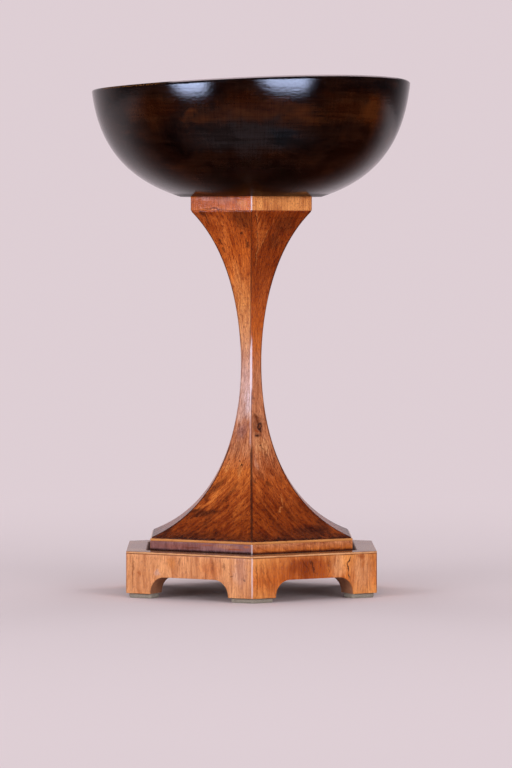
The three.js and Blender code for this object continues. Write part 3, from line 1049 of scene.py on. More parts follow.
@dataclass(frozen=True)
class Felt:
    """Pressed wool felt: short fibres that lie every way.

    Attributes:
        light: The tone of the fibres on top.
        dark: The tone between them.
        pile: How high the fibres and the lumps in them stand.
    """

    light: Tone = (0.36, 0.32, 0.27)
    dark: Tone = (0.15, 0.125, 0.105)
    pile: float = 0.3 * MM

    def material(self) -> bpy.types.Material:
        """The finish as a material on Object coordinates."""
        bench = Bench("pressed_felt")
        x, y, z = bench.room()
        fibres = bench.pattern((x, y, z), (1200, 1200, 1800), detail=4, rough=0.7, twist=1.5)
        lumps = bench.pattern((x, y, z), (180, 180, 300), detail=2)
        colour = bench.tint(self.dark, self.light, fibres.ease(0.3, 0.6) * 0.8 + lumps * 0.2)
        relief = fibres * self.pile + lumps * self.pile
        return bench.finish(bench.coat(colour, 0.95, relief, Specular_IOR_Level=0.1))


@dataclass(frozen=True)
class StudioPaint:
    """The pale paint of the studio: matt and shaded near the object, and evenly pale far from it.

    Attributes:
        tone: Its colour.
        pale_from: The distance from the axis where the evenly pale part begins.
        pale_to: The distance where it is complete.
    """

    tone: Tone = (0.73, 0.62, 0.66)
    pale_from: float = 0.25
    pale_to: float = 1.3

    def material(self) -> bpy.types.Material:
        """The paint as a material on Object coordinates."""
        bench = Bench("studio_paint")
        x, y, _ = bench.room()
        far = bench.maths("SQRT", x * x + y * y, 0.0).ease(self.pale_from, self.pale_to)
        path = bench.node("ShaderNodeLightPath", output="Is Camera Ray")
        rays = path.socket.node.outputs
        seen = path + Wire(bench, rays["Is Glossy Ray"]) + Wire(bench, rays["Is Transmission Ray"])
        matt = bench.coat(self.tone, 0.9, Specular_IOR_Level=0.0)
        glow = bench.node("ShaderNodeEmission", sockets={"Color": self.tone, "Strength": 1.0})
        return bench.finish(bench.node("ShaderNodeMixShader", sockets={0: far * seen, 1: matt, 2: glow}))


@dataclass(frozen=True)
class GradedCloth:
    """A cloth round the object that only the polish sees: dark in front, and as pale as the wall behind.

    Attributes:
        name: The material's name.
        tone: Its pale colour.
        dark: Its dark colour.
        dark_to: How far behind the axis its dark part ends.
        pale_from: How far behind the axis its pale part begins.
        top: The heights between which it turns dark all round.
        turn: How far its pale side is turned to the left.
    """

    name: str
    tone: Tone = (0.73, 0.62, 0.66)
    dark: Tone = (0.03, 0.045, 0.06)
    dark_to: float = 0.5
    pale_from: float = 2.6
    top: tuple[float, float] = (0.9, 1.6)
    turn: float = math.radians(14)

    def material(self) -> bpy.types.Material:
        """The cloth as a material on Object coordinates."""
        bench = Bench(self.name)
        x, y, z = bench.room()
        behind = y * math.cos(self.turn) - x * math.sin(self.turn)
        dark = bench.coat(self.dark, 1.0, Specular_IOR_Level=0.0)
        pale = bench.node("ShaderNodeEmission", sockets={"Color": self.tone, "Strength": 1.0})
        share = behind.ease(self.dark_to, self.pale_from) * z.ease(self.top[1], self.top[0])
        return bench.finish(bench.node("ShaderNodeMixShader", sockets={0: share, 1: dark, 2: pale}))


@dataclass(frozen=True)
class SheenCard:
    """A creased bluish card that glows, and fades towards its lower edge and its sides, which lean outwards.

    Attributes:
        name: The material's name.
        glare: Its brightness, where 1 is white.
        sides: The angles of its left and right side from the front at the height full_from, in degrees.
        leans: How far each side moves outwards for each metre of height, in degrees.
        tone: Its colour.
        dim_to: The height where it begins to glow, under the floor for one that glows down to its edge.
        full_from: The height where it glows fully.
        soft: How far its sides fade, in degrees.
    """

    name: str
    glare: float
    sides: tuple[float, float]
    leans: tuple[float, float] = (0.0, 0.0)
    tone: Tone = (0.58, 0.68, 1.0)
    dim_to: float = 0.09
    full_from: float = 0.23
    soft: float = 5.0

    def material(self) -> bpy.types.Material:
        """The glow as a material on Object coordinates."""
        bench = Bench(self.name)
        x, y, z = bench.room()
        angle = bench.maths("ARCTAN2", x, y * -1.0) * (180 / math.pi)
        rise = z - self.full_from
        left = (angle + rise * self.leans[0]).ease(self.sides[0], self.sides[0] + self.soft)
        right = (angle - rise * self.leans[1]).ease(self.sides[1], self.sides[1] - self.soft)
        creases = bench.pattern((angle, z), (0.4, 70), rough=0.6).ease(0.3, 0.6) * 0.7 + 0.3
        share = z.ease(self.dim_to, self.full_from) * left * right * creases
        colour = bench.tint((0.0, 0.0, 0.0), self.tone, share)
        glow = bench.node("ShaderNodeEmission", sockets={"Color": colour, "Strength": self.glare})
        return bench.finish(glow)


@dataclass(frozen=True)
class Bowl:
    """The bowl, turned from one block and a little warped since.

    Attributes:
        radius: Outside, at the rim.
        base: The radius of its flat base.
        height: From the base to the rim.
        floor: The thickness of its floor.
        rim: The thickness of its rim.
        sunk: How far the rim has sunk on average.
        tilt: How far it leans, and the angle from the front to the side where that lifts it.
        saddle: How far it is bent into a saddle, and the angle to the side where that lifts it.
        socket: The radius of the dowel's hole.
        socket_depth: The depth of that hole.
        rise: The angle from level at which the outside leaves the base.
        lean: The angle from upright at which the outside reaches the rim.
        pulls: How far the outside keeps these directions, as shares of the radius and of the height.
        sag: How the sinking grows towards the rim, as a power of the height.
        steps: Points along the outside.
        bead_steps: Steps round the rim.
        floor_steps: Steps over the floor inside.
        columns: Points round the axis.
    """

    radius: float = 135 * MM
    base: float = 60 * MM
    height: float = RIM_TOP - CAP_TOP
    floor: float = 14 * MM
    rim: float = 4 * MM
    sunk: float = 5.5 * MM
    tilt: tuple[float, float] = (4.1 * MM, math.radians(57))
    saddle: tuple[float, float] = (1.2 * MM, math.radians(39))
    socket: float = DOWEL_HOLE
    socket_depth: float = 8 * MM
    rise: float = math.radians(17.5)
    lean: float = math.radians(6.1)
    pulls: tuple[float, float] = (0.403, 0.455)
    sag: float = 1.5
    steps: int = 90
    bead_steps: int = 13
    floor_steps: int = 8
    columns: int = 256

    def profile(self) -> Points:
        """Radius and height over the base, from the socket round the rim to the middle inside.

        The outside is a cubic curve, the rim a half circle, and the inside the outside moved inwards at right
        angles by a wall that thins evenly from the floor's thickness to the rim's. A row just inside the edge
        of the base keeps that edge crisp.
        """
        start, end = np.array([self.base, 0]), np.array([self.radius, self.height - self.rim / 2])
        first = start + self.pulls[0] * self.radius * np.array([math.cos(self.rise), math.sin(self.rise)])
        second = end - self.pulls[1] * self.height * np.array([math.sin(self.lean), math.cos(self.lean)])
        outside, heading = bezier(np.array([start, first, second, end]), self.steps)
        wall = np.linspace(self.floor, self.rim, self.steps)[:, None]
        inside = outside + wall * heading[:, ::-1] * [-1, 1]
        angle = np.linspace(0, math.pi, self.bead_steps + 1)[1:-1, None]
        bead = end - [self.rim / 2, 0] + self.rim / 2 * np.hstack([np.cos(angle), np.sin(angle)])
        hole = np.array([[self.socket, self.socket_depth], [self.socket, 0], [self.base * 0.99, 0]])
        share = np.linspace(0, 1, self.floor_steps + 1)[1:-1, None]
        middle = inside[0] * (1 - share) + np.array([0, self.floor]) * share
        return np.vstack([hole, outside, bead, inside[::-1], middle])

    def build(self, finish: TurnedLacquer) -> None:
        """Turns the profile round the axis and warps it.

        The rim sinks by sunk - tilt cos(a - lean_side) - saddle cos 2 (a - bent_side), where a is the angle
        round from the front, and a height h over the base by (h / height)^sag of that.

        Args:
            finish: The bowl's finish.
        """
        angle = np.linspace(0, 2 * math.pi, self.columns + 1)[None, :-1]
        radius, level = (self.profile()[:, i, None] for i in range(2))
        (tilt, lean_side), (saddle, bent_side) = self.tilt, self.saddle
        rim = self.sunk - tilt * np.cos(angle - lean_side) - saddle * np.cos(2 * (angle - bent_side))
        sunk = rim * (np.maximum(level, 0) / self.height) ** self.sag
        height = CAP_TOP + level - sunk
        grid = np.stack([radius * np.sin(angle), -radius * np.cos(angle), height], axis=-1)
        steps = np.hypot(np.diff(radius, axis=0), np.diff(level, axis=0))
        walked = np.vstack([[0], np.cumsum(steps, axis=0)])
        from_rim = np.abs(walked - walked[np.argmax(level)])
        maps = {"Rim": np.stack(np.broadcast_arrays(from_rim, level + 0 * angle), axis=-1)}
        piece = ring("turned_bowl", grid, (CAP_TOP + self.socket_depth, CAP_TOP + self.floor), maps)
        seat(piece, "bowl", finish.material())


@dataclass(frozen=True)
class Stem:
    """The stem's six leaves of veneer, each bent to one concave face.

    Attributes:
        foot: Half the width across the flats at the bottom.
        waist: Half the width at the waist.
        head: Half the width at the top.
        waist_rise: The waist's height over the step.
        lip: The height of the upright edge at the top and bottom.
        leaf: The veneer's thickness.
        arris: The arrises' radius at the two ends.
        worn_arris: How much rounder they are worn at the waist.
        worn_reach: How far from the waist that wear reaches.
        gather: How strongly the fibres draw together towards the waist, from 0 for not at all.
        foot_pulls: How far the foot's curve keeps its direction at the waist and at the lip.
        foot_lean: The angle from upright at which it reaches the lip, in degrees.
        head_pulls: The same two shares for the head's curve.
        head_lean: Its angle at the lip.
        steps: Points along each curve.
    """

    foot: float = 83.7 * MM
    waist: float = 8.75 * MM
    head: float = 50.3 * MM
    waist_rise: float = 146 * MM
    lip: float = 1 * MM
    leaf: float = 1 * MM
    arris: float = 0.8 * MM
    worn_arris: float = 2.0 * MM
    worn_reach: float = 60 * MM
    gather: float = 0.6
    foot_pulls: tuple[float, float] = (0.3, 0.485)
    foot_lean: float = 67.6
    head_pulls: tuple[float, float] = (0.22, 0.41)
    head_lean: float = 44.5
    steps: int = 60

    def flare(self, end: float, rise: float, pulls: tuple[float, float], lean: float) -> Points:
        """Half width, height over the step and stretch of one flare, from the waist to its lip.

        Args:
            end: Half the width at the lip.
            rise: The lip's height over the step.
            pulls: How far the curve keeps its direction at the waist and at the lip, as shares of its height.
            lean: How far the lip's direction leans from upright, in degrees.

        Returns:
            Rows of half width, height, and length along the face for each length of height.
        """
        run, tilt = rise - self.waist_rise, math.radians(lean)
        out = np.array([math.sin(tilt) * abs(run), math.cos(tilt) * run])
        ends = [
            [self.waist, self.waist_rise],
            [self.waist, self.waist_rise + pulls[0] * run],
            [end - pulls[1] * out[0], rise - pulls[1] * out[1]],
            [end, rise],
        ]
        curve, heading = bezier(np.array(ends), self.steps)
        return np.column_stack([curve, 1 / np.abs(heading[:, 1])])

    def outline(self) -> Points:
        """The flares of foot and head as one outline from the step up, with an upright lip at each end."""
        height = STEM_TOP - STEP_TOP
        foot = self.flare(self.foot, self.lip, self.foot_pulls, self.foot_lean)[::-1]
        head = self.flare(self.head, height - self.lip, self.head_pulls, self.head_lean)
        flares = np.vstack([foot, head[1:]])
        bottom, top = flares[0].copy(), flares[-1].copy()
        bottom[1], top[1] = 0, height
        return np.vstack([bottom, flares, top])

    def leaf_mesh(self, side: Side) -> bpy.types.Object:
        """One leaf: the face's front with its rounded arrises, and the same face one leaf deeper behind it.

        Args:
            side: The face that it is for.

        Returns:
            The leaf in its place.
        """
        half, level, stretch = self.outline().T
        worn = self.worn_arris * np.exp(-(((level - self.waist_rise) / self.worn_reach) ** 2))
        across, depth, walked = rounded_face(half * SLOPE, self.arris + worn)
        height = np.broadcast_to((STEP_TOP + level)[:, None], across.shape)
        outer = np.stack([across, depth - half[:, None], height], axis=-1)
        back = (half - self.leaf * stretch)[:, None]
        behind = across / across[:, -1:] * (back * SLOPE - JOINT)
        inner = np.stack([behind, 0 * across - back, height], axis=-1)
        along = np.concatenate([[0], np.cumsum(np.hypot(np.diff(half), np.diff(level)))])[:, None]
        spread = walked * (self.head / half[:, None]) ** self.gather
        maps = {
            "Face": np.stack([across, height], axis=-1),
            "Fibre": np.stack([spread, along + 0 * across], axis=-1),
            "Edge": np.stack([walked[:, -1:] - np.abs(walked), walked / walked[:, -1:]], axis=-1),
        }
        outer, inner = turned_round(outer, side.turn), turned_round(inner, side.turn)
        return shell(f"stem_leaf_{side.value}", outer, inner, maps)

    def build(self, finishes: dict[Side, Finish]) -> None:
        """Makes the six leaves.

        Args:
            finishes: Each face's veneer.
        """
        for side, finish in finishes.items():
            seat(self.leaf_mesh(side), f"stem_veneer_{side.value}", finish.material())


@dataclass(frozen=True)
class Arch:
    """The cut between two bracket feet: a flat top with a quarter circle at each end.

    Attributes:
        half: Half its width.
        height: Its height.
        shoulder: The radius of the quarter circles.
        foot_steps: Steps along the end of a bracket foot.
        arc_steps: Steps round a quarter circle.
        top_steps: Steps along the flat top.
    """

    half: float = PLINTH_HALF * SLOPE - FOOT_LENGTH
    height: float = 14.4 * MM
    shoulder: float = 13.5 * MM
    foot_steps: int = 6
    arc_steps: int = 12
    top_steps: int = 16

    def edge(self, ends: float) -> tuple[Points, Points]:
        """The lower edge of a face with the arch in it, from its left end to its right.

        Args:
            ends: Half the length of the face.

        Returns:
            The edge's points, across and up, and the direction into the wood at each.
        """
        turn = np.linspace(0, math.pi / 2, self.arc_steps + 1)
        middle, spring = self.half - self.shoulder, self.height - self.shoulder
        foot = np.linspace(ends, self.half, self.foot_steps + 1)[:-1]
        top = np.linspace(middle, -middle, self.top_steps + 1)[1:-1]
        corner = np.array([[self.half, 0], [self.half, spring * 0.6]])
        arc = np.column_stack([middle + self.shoulder * np.cos(turn), spring + self.shoulder * np.sin(turn)])
        crown = np.column_stack([top, 0 * top + self.height])
        right = np.vstack([np.column_stack([foot, 0 * foot]), corner, arc])
        points = np.vstack([right, crown, right[::-1] * [-1, 1]])
        into_arc = np.column_stack([np.cos(turn), np.sin(turn)])
        into_right = np.vstack([np.tile([0, 1], (len(foot), 1)), [[1, 1], [1, 0]], into_arc])
        inward = np.vstack([into_right, np.tile([0, 1], (len(top), 1)), into_right[::-1] * [-1, 1]])
        return points[::-1], inward[::-1]


@dataclass(frozen=True)
class FacedBoard:
    """A board on each face of a hexagon, its ends mitred, its outer edges eased and its arrises rounded.

    Attributes:
        label: The start of its pieces' names.
        node: The start of its CAD nodes' names.
        slot: The record's material slot.
        half: Half the hexagon's width across the flats, at the board's front.
        thickness: The board's thickness.
        bottom: Its lower level.
        top: Its upper level.
        arris: The radius of the arrises between boards.
        eased: The radius of its upper and lower edges.
        arch: The arch cut into it, if there is one.
        rows: Rows between the eased edges.
    """

    label: str
    node: str
    slot: str
    half: float
    thickness: float
    bottom: float
    top: float
    arris: float = 1.0 * MM
    eased: float = 0.4 * MM
    arch: Arch | None = None
    rows: int = 10

    def lower_edge(self) -> tuple[Points, Points, Points]:
        """The board's lower edge, from its left arris to its right.

        Returns:
            The edge's points across and up, their depth where they bend round the arrises, and the way into
            the wood at each.
        """
        ends = np.array([self.half * SLOPE])
        across, depth, _ = (row[0] for row in rounded_face(ends, np.array([self.arris])))
        if self.arch is None:
            inward = np.tile([0.0, 1.0], (len(across), 1))
            return np.column_stack([across, 0 * across]), depth, inward
        points, inward = self.arch.edge(ends[0] - JOINT - self.arris * SLOPE)
        bent = np.abs(across) > points[-1, 0] + JOINT / 10
        bends = (bent & (across < 0), bent & (across > 0))
        left, right = (np.column_stack([across[bend], 0 * across[bend]]) for bend in bends)
        up = np.tile([0.0, 1.0], (len(left), 1))
        depths = np.concatenate([depth[bends[0]], np.zeros(len(points)), depth[bends[1]]])
        return np.vstack([left, points, right]), depths, np.vstack([up, inward, up])

    def board_mesh(self, side: Side) -> bpy.types.Object:
        """One board: its front from the eased lower edge to the eased upper one, and its back.

        Over each eased edge the front runs round a quarter circle: it is r (1 - sin t) deep and r (1 - cos t)
        in from the edge. The columns stand no closer together along the top than a joint is wide, which the
        upright ends of an arch would make them.

        Args:
            side: The face that it is for.

        Returns:
            The board in its place.
        """
        edge, bend, inward = self.lower_edge()
        count = np.arange(len(edge)) * JOINT
        spaced = np.maximum.accumulate(edge[:, 0] - count) + count
        turn = np.linspace(0, math.pi / 2, EASED_STEPS + 1)[:, None]
        sunk, moved = self.eased * (1 - np.sin(turn)), self.eased * (1 - np.cos(turn))
        height = self.top - self.bottom
        low = edge + inward * moved[..., None]
        high = np.stack([spaced + 0 * moved, height - moved[::-1] + 0 * spaced], axis=-1)
        share = np.linspace(0, 1, self.rows + 2)[1:-1, None, None]
        front = np.concatenate([low, low[-1] * (1 - share) + high[0] * share, high])
        sunk = np.concatenate([sunk, 0 * share[..., 0], sunk[::-1]])
        across, level = front[..., 0], front[..., 1]
        outer = [across * (1 - sunk / self.half), sunk + bend - self.half, self.bottom + level]
        share = np.linspace(0, 1, len(front))[:, None]
        back = edge[:, 0] * (1 - share) + spaced * share
        back_level = edge[:, 1] * (1 - share) + height * share
        end, back_end = edge[-1, 0], (self.half - self.thickness) * SLOPE - JOINT
        fixed = self.arch.half if self.arch else 0.0
        beyond = np.maximum(np.abs(back) - fixed, 0) * (back_end - fixed) / (end - fixed)
        back = np.sign(back) * (np.minimum(np.abs(back), fixed) + beyond)
        inner = [back, 0 * back + self.thickness - self.half, self.bottom + back_level]
        maps = {
            "Face": np.stack([across, self.bottom + level], axis=-1),
            "Fibre": np.stack([across, self.bottom + level], axis=-1),
            "Edge": np.stack([end - np.abs(across), across / end], axis=-1),
        }
        grids = (turned_round(np.stack(grid, axis=-1), side.turn) for grid in (outer, inner))
        return shell(f"{self.label}_{side.value}", *grids, maps)

    def build(self, finishes: dict[Side, Finish]) -> None:
        """Makes the six boards.

        Args:
            finishes: Each face's finish.
        """
        for side, finish in finishes.items():
            seat(self.board_mesh(side), f"{self.node}_{side.value}", finish.material())


@dataclass(frozen=True)
class TopLeaf:
    """A hexagonal leaf with rounded corners and eased edges, bored for the dowel.

    Attributes:
        label: The piece's name.
        node: The CAD node's name.
        slot: The name of a material slot, which is not used.
        half: Half its width across the flats.
        bottom: Its lower level.
        top: Its upper level.
        corner: The radius of its corners.
        eased: The radius of its outer edges.
        bore: The radius of the dowel's hole.
    """

    label: str
    node: str
    slot: str
    half: float
    bottom: float
    top: float
    corner: float = 1.0 * MM
    eased: float = 0.5 * MM
    bore: float = DOWEL_HOLE

    def build(self, finish: PlainWood) -> None:
        """Carries the edge's section round the hexagon and closes it at the bore.

        A point of the section is set in from the outline along the outline's inward direction. Past the eased
        edges the surface runs straight from the outline to the bore.

        Args:
            finish: The leaf's finish.
        """
        sizes = np.array([self.half * SLOPE]), np.array([self.corner])
        across, depth, _ = (row[0] for row in rounded_face(*sizes))
        lean = np.arccos(1 - depth / self.corner) * np.sign(across)
        side = np.stack([across, depth - self.half, 0 * across], axis=-1)
        heading = np.stack([-np.sin(lean), np.cos(lean), 0 * lean], axis=-1)
        outline = np.concatenate([turned_round(side, face.turn) for face in Side])
        inward = np.concatenate([turned_round(heading, face.turn) for face in Side])
        hole = outline / np.linalg.norm(outline, axis=1, keepdims=True) * self.bore
        turn = np.linspace(0, math.pi / 2, EASED_STEPS + 1)
        inset, step = self.eased * (1 - np.sin(turn)), self.eased * (1 - np.cos(turn))
        rim = outline + inward * np.concatenate([inset, inset[::-1]])[:, None, None]
        share = np.linspace(0, 1, FLAT_ROWS + 1)[1:, None, None]
        flat = rim[0] * (1 - share) + hole * share
        grid = np.concatenate([flat[::-1], rim, flat])
        under, over = np.full(FLAT_ROWS, self.bottom), np.full(FLAT_ROWS, self.top)
        grid[..., 2] = np.concatenate([under, self.bottom + step, self.top - step[::-1], over])[:, None]
        seat(ring(self.label, grid), self.node, finish.material())


@dataclass(frozen=True)
class FeltPads:
    """Six chevrons of felt, one under each bracket foot.

    Attributes:
        half: Half the plinth's width across the flats.
        depth: The depth of a bracket foot.
        arm: How far a foot reaches along each of its two faces.
        outer_margin: How far a pad is drawn in from the front of its foot.
        inner_margin: How far it is drawn in from the back.
        end_margin: How far it is drawn in from the foot's end.
        rounding: How far its corners are rounded off.
        thickness: The felt's thickness.
        bulge: How far its sides bulge.
        round_steps: Steps round a corner.
        side_steps: Steps up a side.
    """

    half: float = PLINTH_HALF
    depth: float = 19.8 * MM
    arm: float = FOOT_LENGTH
    outer_margin: float = 2.5 * MM
    inner_margin: float = 2 * MM
    end_margin: float = 0.6 * MM
    rounding: float = 3 * MM
    thickness: float = PLINTH_BOTTOM
    bulge: float = 0.7 * MM
    round_steps: int = 7
    side_steps: int = 8

    def outline(self) -> Points:
        """The chevron at the front corner, its corners rounded by (1-t)^2 a + 2 (1-t) t b + t^2 c."""
        along = np.array([math.cos(HALF_FACE), math.sin(HALF_FACE)])
        inward = np.array([-math.sin(HALF_FACE), math.cos(HALF_FACE)])
        tip = np.array([0, -self.half / math.cos(HALF_FACE)])
        end, inner = self.arm - self.end_margin, self.depth - self.inner_margin
        outer_end = tip + along * end + inward * self.outer_margin
        inner_end = tip + along * end + inward * inner
        outer_tip = tip + [0, self.outer_margin / math.cos(HALF_FACE)]
        inner_tip = tip + [0, inner / math.cos(HALF_FACE)]
        right, mirror = [outer_tip, outer_end, inner_end, inner_tip], np.array([-1, 1])
        corners = np.array([*right, inner_end * mirror, outer_end * mirror])
        before, after = np.roll(corners, 1, axis=0) - corners, np.roll(corners, -1, axis=0) - corners
        start = corners + before / np.linalg.norm(before, axis=1, keepdims=True) * self.rounding
        stop = corners + after / np.linalg.norm(after, axis=1, keepdims=True) * self.rounding
        t = np.linspace(0, 1, self.round_steps + 1)[None, :, None]
        curve = (1 - t) ** 2 * start[:, None] + 2 * (1 - t) * t * corners[:, None] + t**2 * stop[:, None]
        return curve.reshape(-1, 2)

    def pad_mesh(self, corner: Corner) -> bpy.types.Object:
        """One pad: its outline carried up a side that bulges a little, closed by a flat face at each end.

        At a share s of its height the side lies bulge |2 s - 1|^3 inside its widest line.

        Args:
            corner: The foot that it is under.

        Returns:
            The pad in its place.
        """
        outline = self.outline()
        heading = np.roll(outline, -1, axis=0) - np.roll(outline, 1, axis=0)
        heading /= np.linalg.norm(heading, axis=1, keepdims=True)
        inward = heading[:, ::-1] * [-1, 1]
        share = np.linspace(0, 1, self.side_steps + 1)
        inset = self.bulge * (2 * np.abs(share - 0.5)) ** 3
        flat = outline[None] + inward[None] * inset[:, None, None]
        level = np.broadcast_to((share * self.thickness)[:, None, None], (*flat.shape[:2], 1))
        grid = turned_round(np.concatenate([flat, level], axis=-1), corner.turn)
        index = looped(grid)
        ends = [index[0, :-1][::-1].tolist(), index[-1, :-1].tolist()]
        return mesh_piece(f"pad_{corner.value}", grid.reshape(-1, 3), quads(index) + ends, {})

    def build(self, finish: Felt) -> None:
        """Makes the six pads.

        Args:
            finish: The felt.
        """
        felt = finish.material()
        for corner in Corner:
            seat(self.pad_mesh(corner), f"felt_pad_{corner.value}", felt)


@dataclass(frozen=True)
class HiddenWood:
    """The blocks and dowels inside, which keep their CAD shapes and get wood of their own."""

    def dress(self) -> None:
        """Gives each of them its wood."""
        sawn = PlainWood("sawn_core", (0.30, 0.17, 0.085), (0.15, 0.075, 0.035), 0.6)
        core, upright = sawn.material(), replace(sawn, name="sawn_core_upright", upright=True).material()
        dowel = PlainWood("dowel_wood", (0.55, 0.36, 0.19), (0.38, 0.22, 0.10), 0.5, True).material()
        woods = {
            "cap_core": core,
            "stem_core": upright,
            "step_core": core,
            "plinth_board": core,
            "head_dowel": dowel,
            "foot_dowel": dowel,
        }
        for node, wood in woods.items():
            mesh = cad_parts[node].data
            mesh.materials.clear()
            mesh.materials.append(wood)
            log.info("%s keeps its CAD shape and gets %s", node, wood.name)


@dataclass(frozen=True)
class Camera:
    """The camera at the place that the photograph was taken from.

    Attributes:
        place: Where it stands.
        aim: The point that is in the middle of the frame.
        lens: The focal length in millimetres on a 36 mm long side.
    """

    place: tuple[float, float, float] = (-24 * MM, -3.482, 298 * MM)
    aim: tuple[float, float, float] = (4.2 * MM, 0, 176.9 * MM)
    lens: float = 192.0

    def build(self) -> None:
        """Adds the camera and makes it the scene's."""
        data = bpy.data.cameras.new("camera")
        data.lens, data.sensor_width = self.lens, 36
        data.clip_start, data.clip_end = 0.1, 60
        made = put_in_scene("camera", data)
        made.location = self.place
        made.rotation_mode = "QUATERNION"
        made.rotation_quaternion = (Vector(self.aim) - made.location).to_track_quat("-Z", "Y")
        bpy.context.scene.camera = made


@dataclass(frozen=True)
class Studio:
    """A round studio: a floor that sweeps up into a pale wall, lamps in front, and an even sky.

    Attributes:
        floor: The radius of the flat floor.
        sweep: The radius of the curve from the floor to the wall.
        wall: The wall's height.
        sky: The sky's strength.
        lamp_distance: How far from the axis the lamps stand.
        lamp_width: Their width.
    """

    floor: float = 6.0
    sweep: float = 2.0
    wall: float = 6.0
    sky: float = 0.6
    lamp_distance: float = 3.4
    lamp_width: float = 1.7

    def build(self) -> None:
        """Makes the studio and lights it."""
        paint = StudioPaint().material()
        turn = np.linspace(0, math.pi / 2, 25)
        flat = np.linspace(0, self.floor, 20)
        self.turned_sheet("studio_floor", flat, 0 * flat, paint)
        out = np.append(self.floor + self.sweep * np.sin(turn), self.floor + self.sweep)
        up = np.append(self.sweep * (1 - np.cos(turn)), self.wall)
        wall = self.turned_sheet("studio_wall", out, up, paint)
        wall.visible_diffuse = False
        self.world()
        for side, word in ((-1, "left"), (1, "right")):
            self.lamp(f"key_{word}", 38 * side - 4, (0.15, 1.75), 6)
        for side, word in ((-1, "left"), (1, "right")):
            self.lamp(f"fill_{word}", 140 * side, (0.3, 1.9), 4)
        self.cards()
        self.drapes()

    def cards(self) -> None:
        """Bends glowing cards round the object, the last one so that low pieces don't see the tall ones."""
        left = SheenCard("sheen_left_glow", 60, (-54, -28), (70, 10))
        right = SheenCard("sheen_right_glow", 50, (7, 42), (75, 35))
        dim = (0.07, 0.12, 0.16)
        table = SheenCard("table_glow", 1, (-70, 60), tone=dim, dim_to=-1, full_from=0, soft=25)
        glow, tall, levels = table.material(), (1.1, 1.1), (0.05, 0.31)
        cards = [
            ("sheen_left", (-75, -20), tall, levels, left.material()),
            ("sheen_right", (-10, 60), tall, levels, right.material()),
            ("table_sheen", (-80, 80), (0.27, 1.0), (2 * MM, 2 * MM), glow),
            ("sheen_skirt", (-80, 80), (0.33, 0.33), (2 * MM, 0.155), glow),
        ]
        for name, part, out, up, paint in cards:
            self.only_in_polish(self.turned_sheet(name, np.array(out), np.array(up), paint, part))

    def drapes(self) -> None:
        """Hangs a graded cloth round the object and lays one under it."""
        below = GradedCloth("cloth_below", dark=UMBER, dark_to=0.05, pale_from=0.75).material()
        around = GradedCloth("cloth_around").material()
        flat, wall = np.linspace(0.1, 2.5, 9), np.array([2.5, 2.5])
        self.only_in_polish(self.turned_sheet("cloth_below", flat, 0 * flat + MM, below))
        self.only_in_polish(self.turned_sheet("cloth_around", wall, np.array([MM, 2.5]), around))
        self.only_in_polish(self.turned_sheet("cloth_above", flat, 0 * flat + 2.5, around))

    @staticmethod
    def only_in_polish(sheet: bpy.types.Object) -> None:
        """Hides a sheet from everything but the object's polish."""
        sheet.visible_camera = sheet.visible_diffuse = sheet.visible_shadow = False
        sheet.visible_transmission = sheet.visible_volume_scatter = False

    def turned_sheet(
        self,
        name: str,
        out: Points,
        up: Points,
        paint: bpy.types.Material,
        part: tuple[float, float] = (0, 360),
    ) -> bpy.types.Object:
        """A sheet turned about the axis from a line of distances and heights.

        Args:
            name: Its name.
            out: The distances from the axis.
            up: The heights.
            paint: Its material.
            part: The angles from the front where it begins and ends, in degrees to the right.

        Returns:
            The sheet, on the stage.
        """
        angle = np.radians(np.linspace(*part, SHEET_STEPS + 1))[None]
        x, y = out[:, None] * np.sin(angle), -out[:, None] * np.cos(angle)
        grid = np.stack([x, y, up[:, None] + 0 * angle], axis=-1)
        index = np.arange(x.size).reshape(x.shape)
        mesh = bpy.data.meshes.new(name)
        mesh.from_pydata(grid.reshape(-1, 3), [], quads(index))
        mesh.shade_smooth()
        mesh.materials.append(paint)
        made = put_in_scene(name, mesh)
        return made

    def world(self) -> None:
        """A plain white sky that lights the object from above and from all sides."""
        world = bpy.data.worlds.new("sky")
        world.use_nodes = True
        light = world.node_tree.nodes["Background"].inputs
        light["Color"].default_value = (1, 1, 1, 1)
        light["Strength"].default_value = self.sky
        bpy.context.scene.world = world

    def lamp(self, name: str, angle: float, levels: tuple[float, float], glare: float) -> None:
        """Adds a soft box that faces the axis. It lights the object and isn't seen in its polish.

        Args:
            name: Its name.
            angle: How far round from the front it stands, in degrees to the right.
            levels: Its lower and upper edge.
            glare: Its brightness, where 1 is white.
        """
        width, height = self.lamp_width, levels[1] - levels[0]
        data = bpy.data.lights.new(name, "AREA")
        data.shape, data.size, data.size_y = "RECTANGLE", width, height
        data.energy = glare * math.pi * width * height
        made = put_in_scene(name, data)
        turn = math.radians(angle)
        out, back = self.lamp_distance * math.sin(turn), -self.lamp_distance * math.cos(turn)
        made.location = (out, back, sum(levels) / 2)
        made.rotation_euler = (math.pi / 2, 0, turn)
        made.visible_camera = made.visible_glossy = False


def patch(
    across: float, height: float, width: float, length: float, tone: Tone, strength: float = 0.8, **shape: Any
) -> Mark:
    """A mark whose place and size are given in millimetres."""
    return Mark(across * MM, height * MM, width * MM, length * MM, tone, strength, **shape)


def line(side: int, low: float, high: float, width: float, tone: Tone, strength: float = 0.8) -> ArrisLine:
    """An arris line whose place and width are given in millimetres."""
    return ArrisLine(side, low * MM, high * MM, width * MM, tone, strength)


def bands(*levels: tuple[float, Tone]) -> tuple[tuple[float, Tone], ...]:
    """The bands of a veneer, their heights given in millimetres."""
    return tuple((height * MM, tone) for height, tone in levels)


def mirrored(marks: tuple[Mark, ...]) -> tuple[Mark, ...]:
    """The same marks as the back of the leaf shows them."""
    return tuple(replace(mark, across=-mark.across, lean=-mark.lean) for mark in marks)
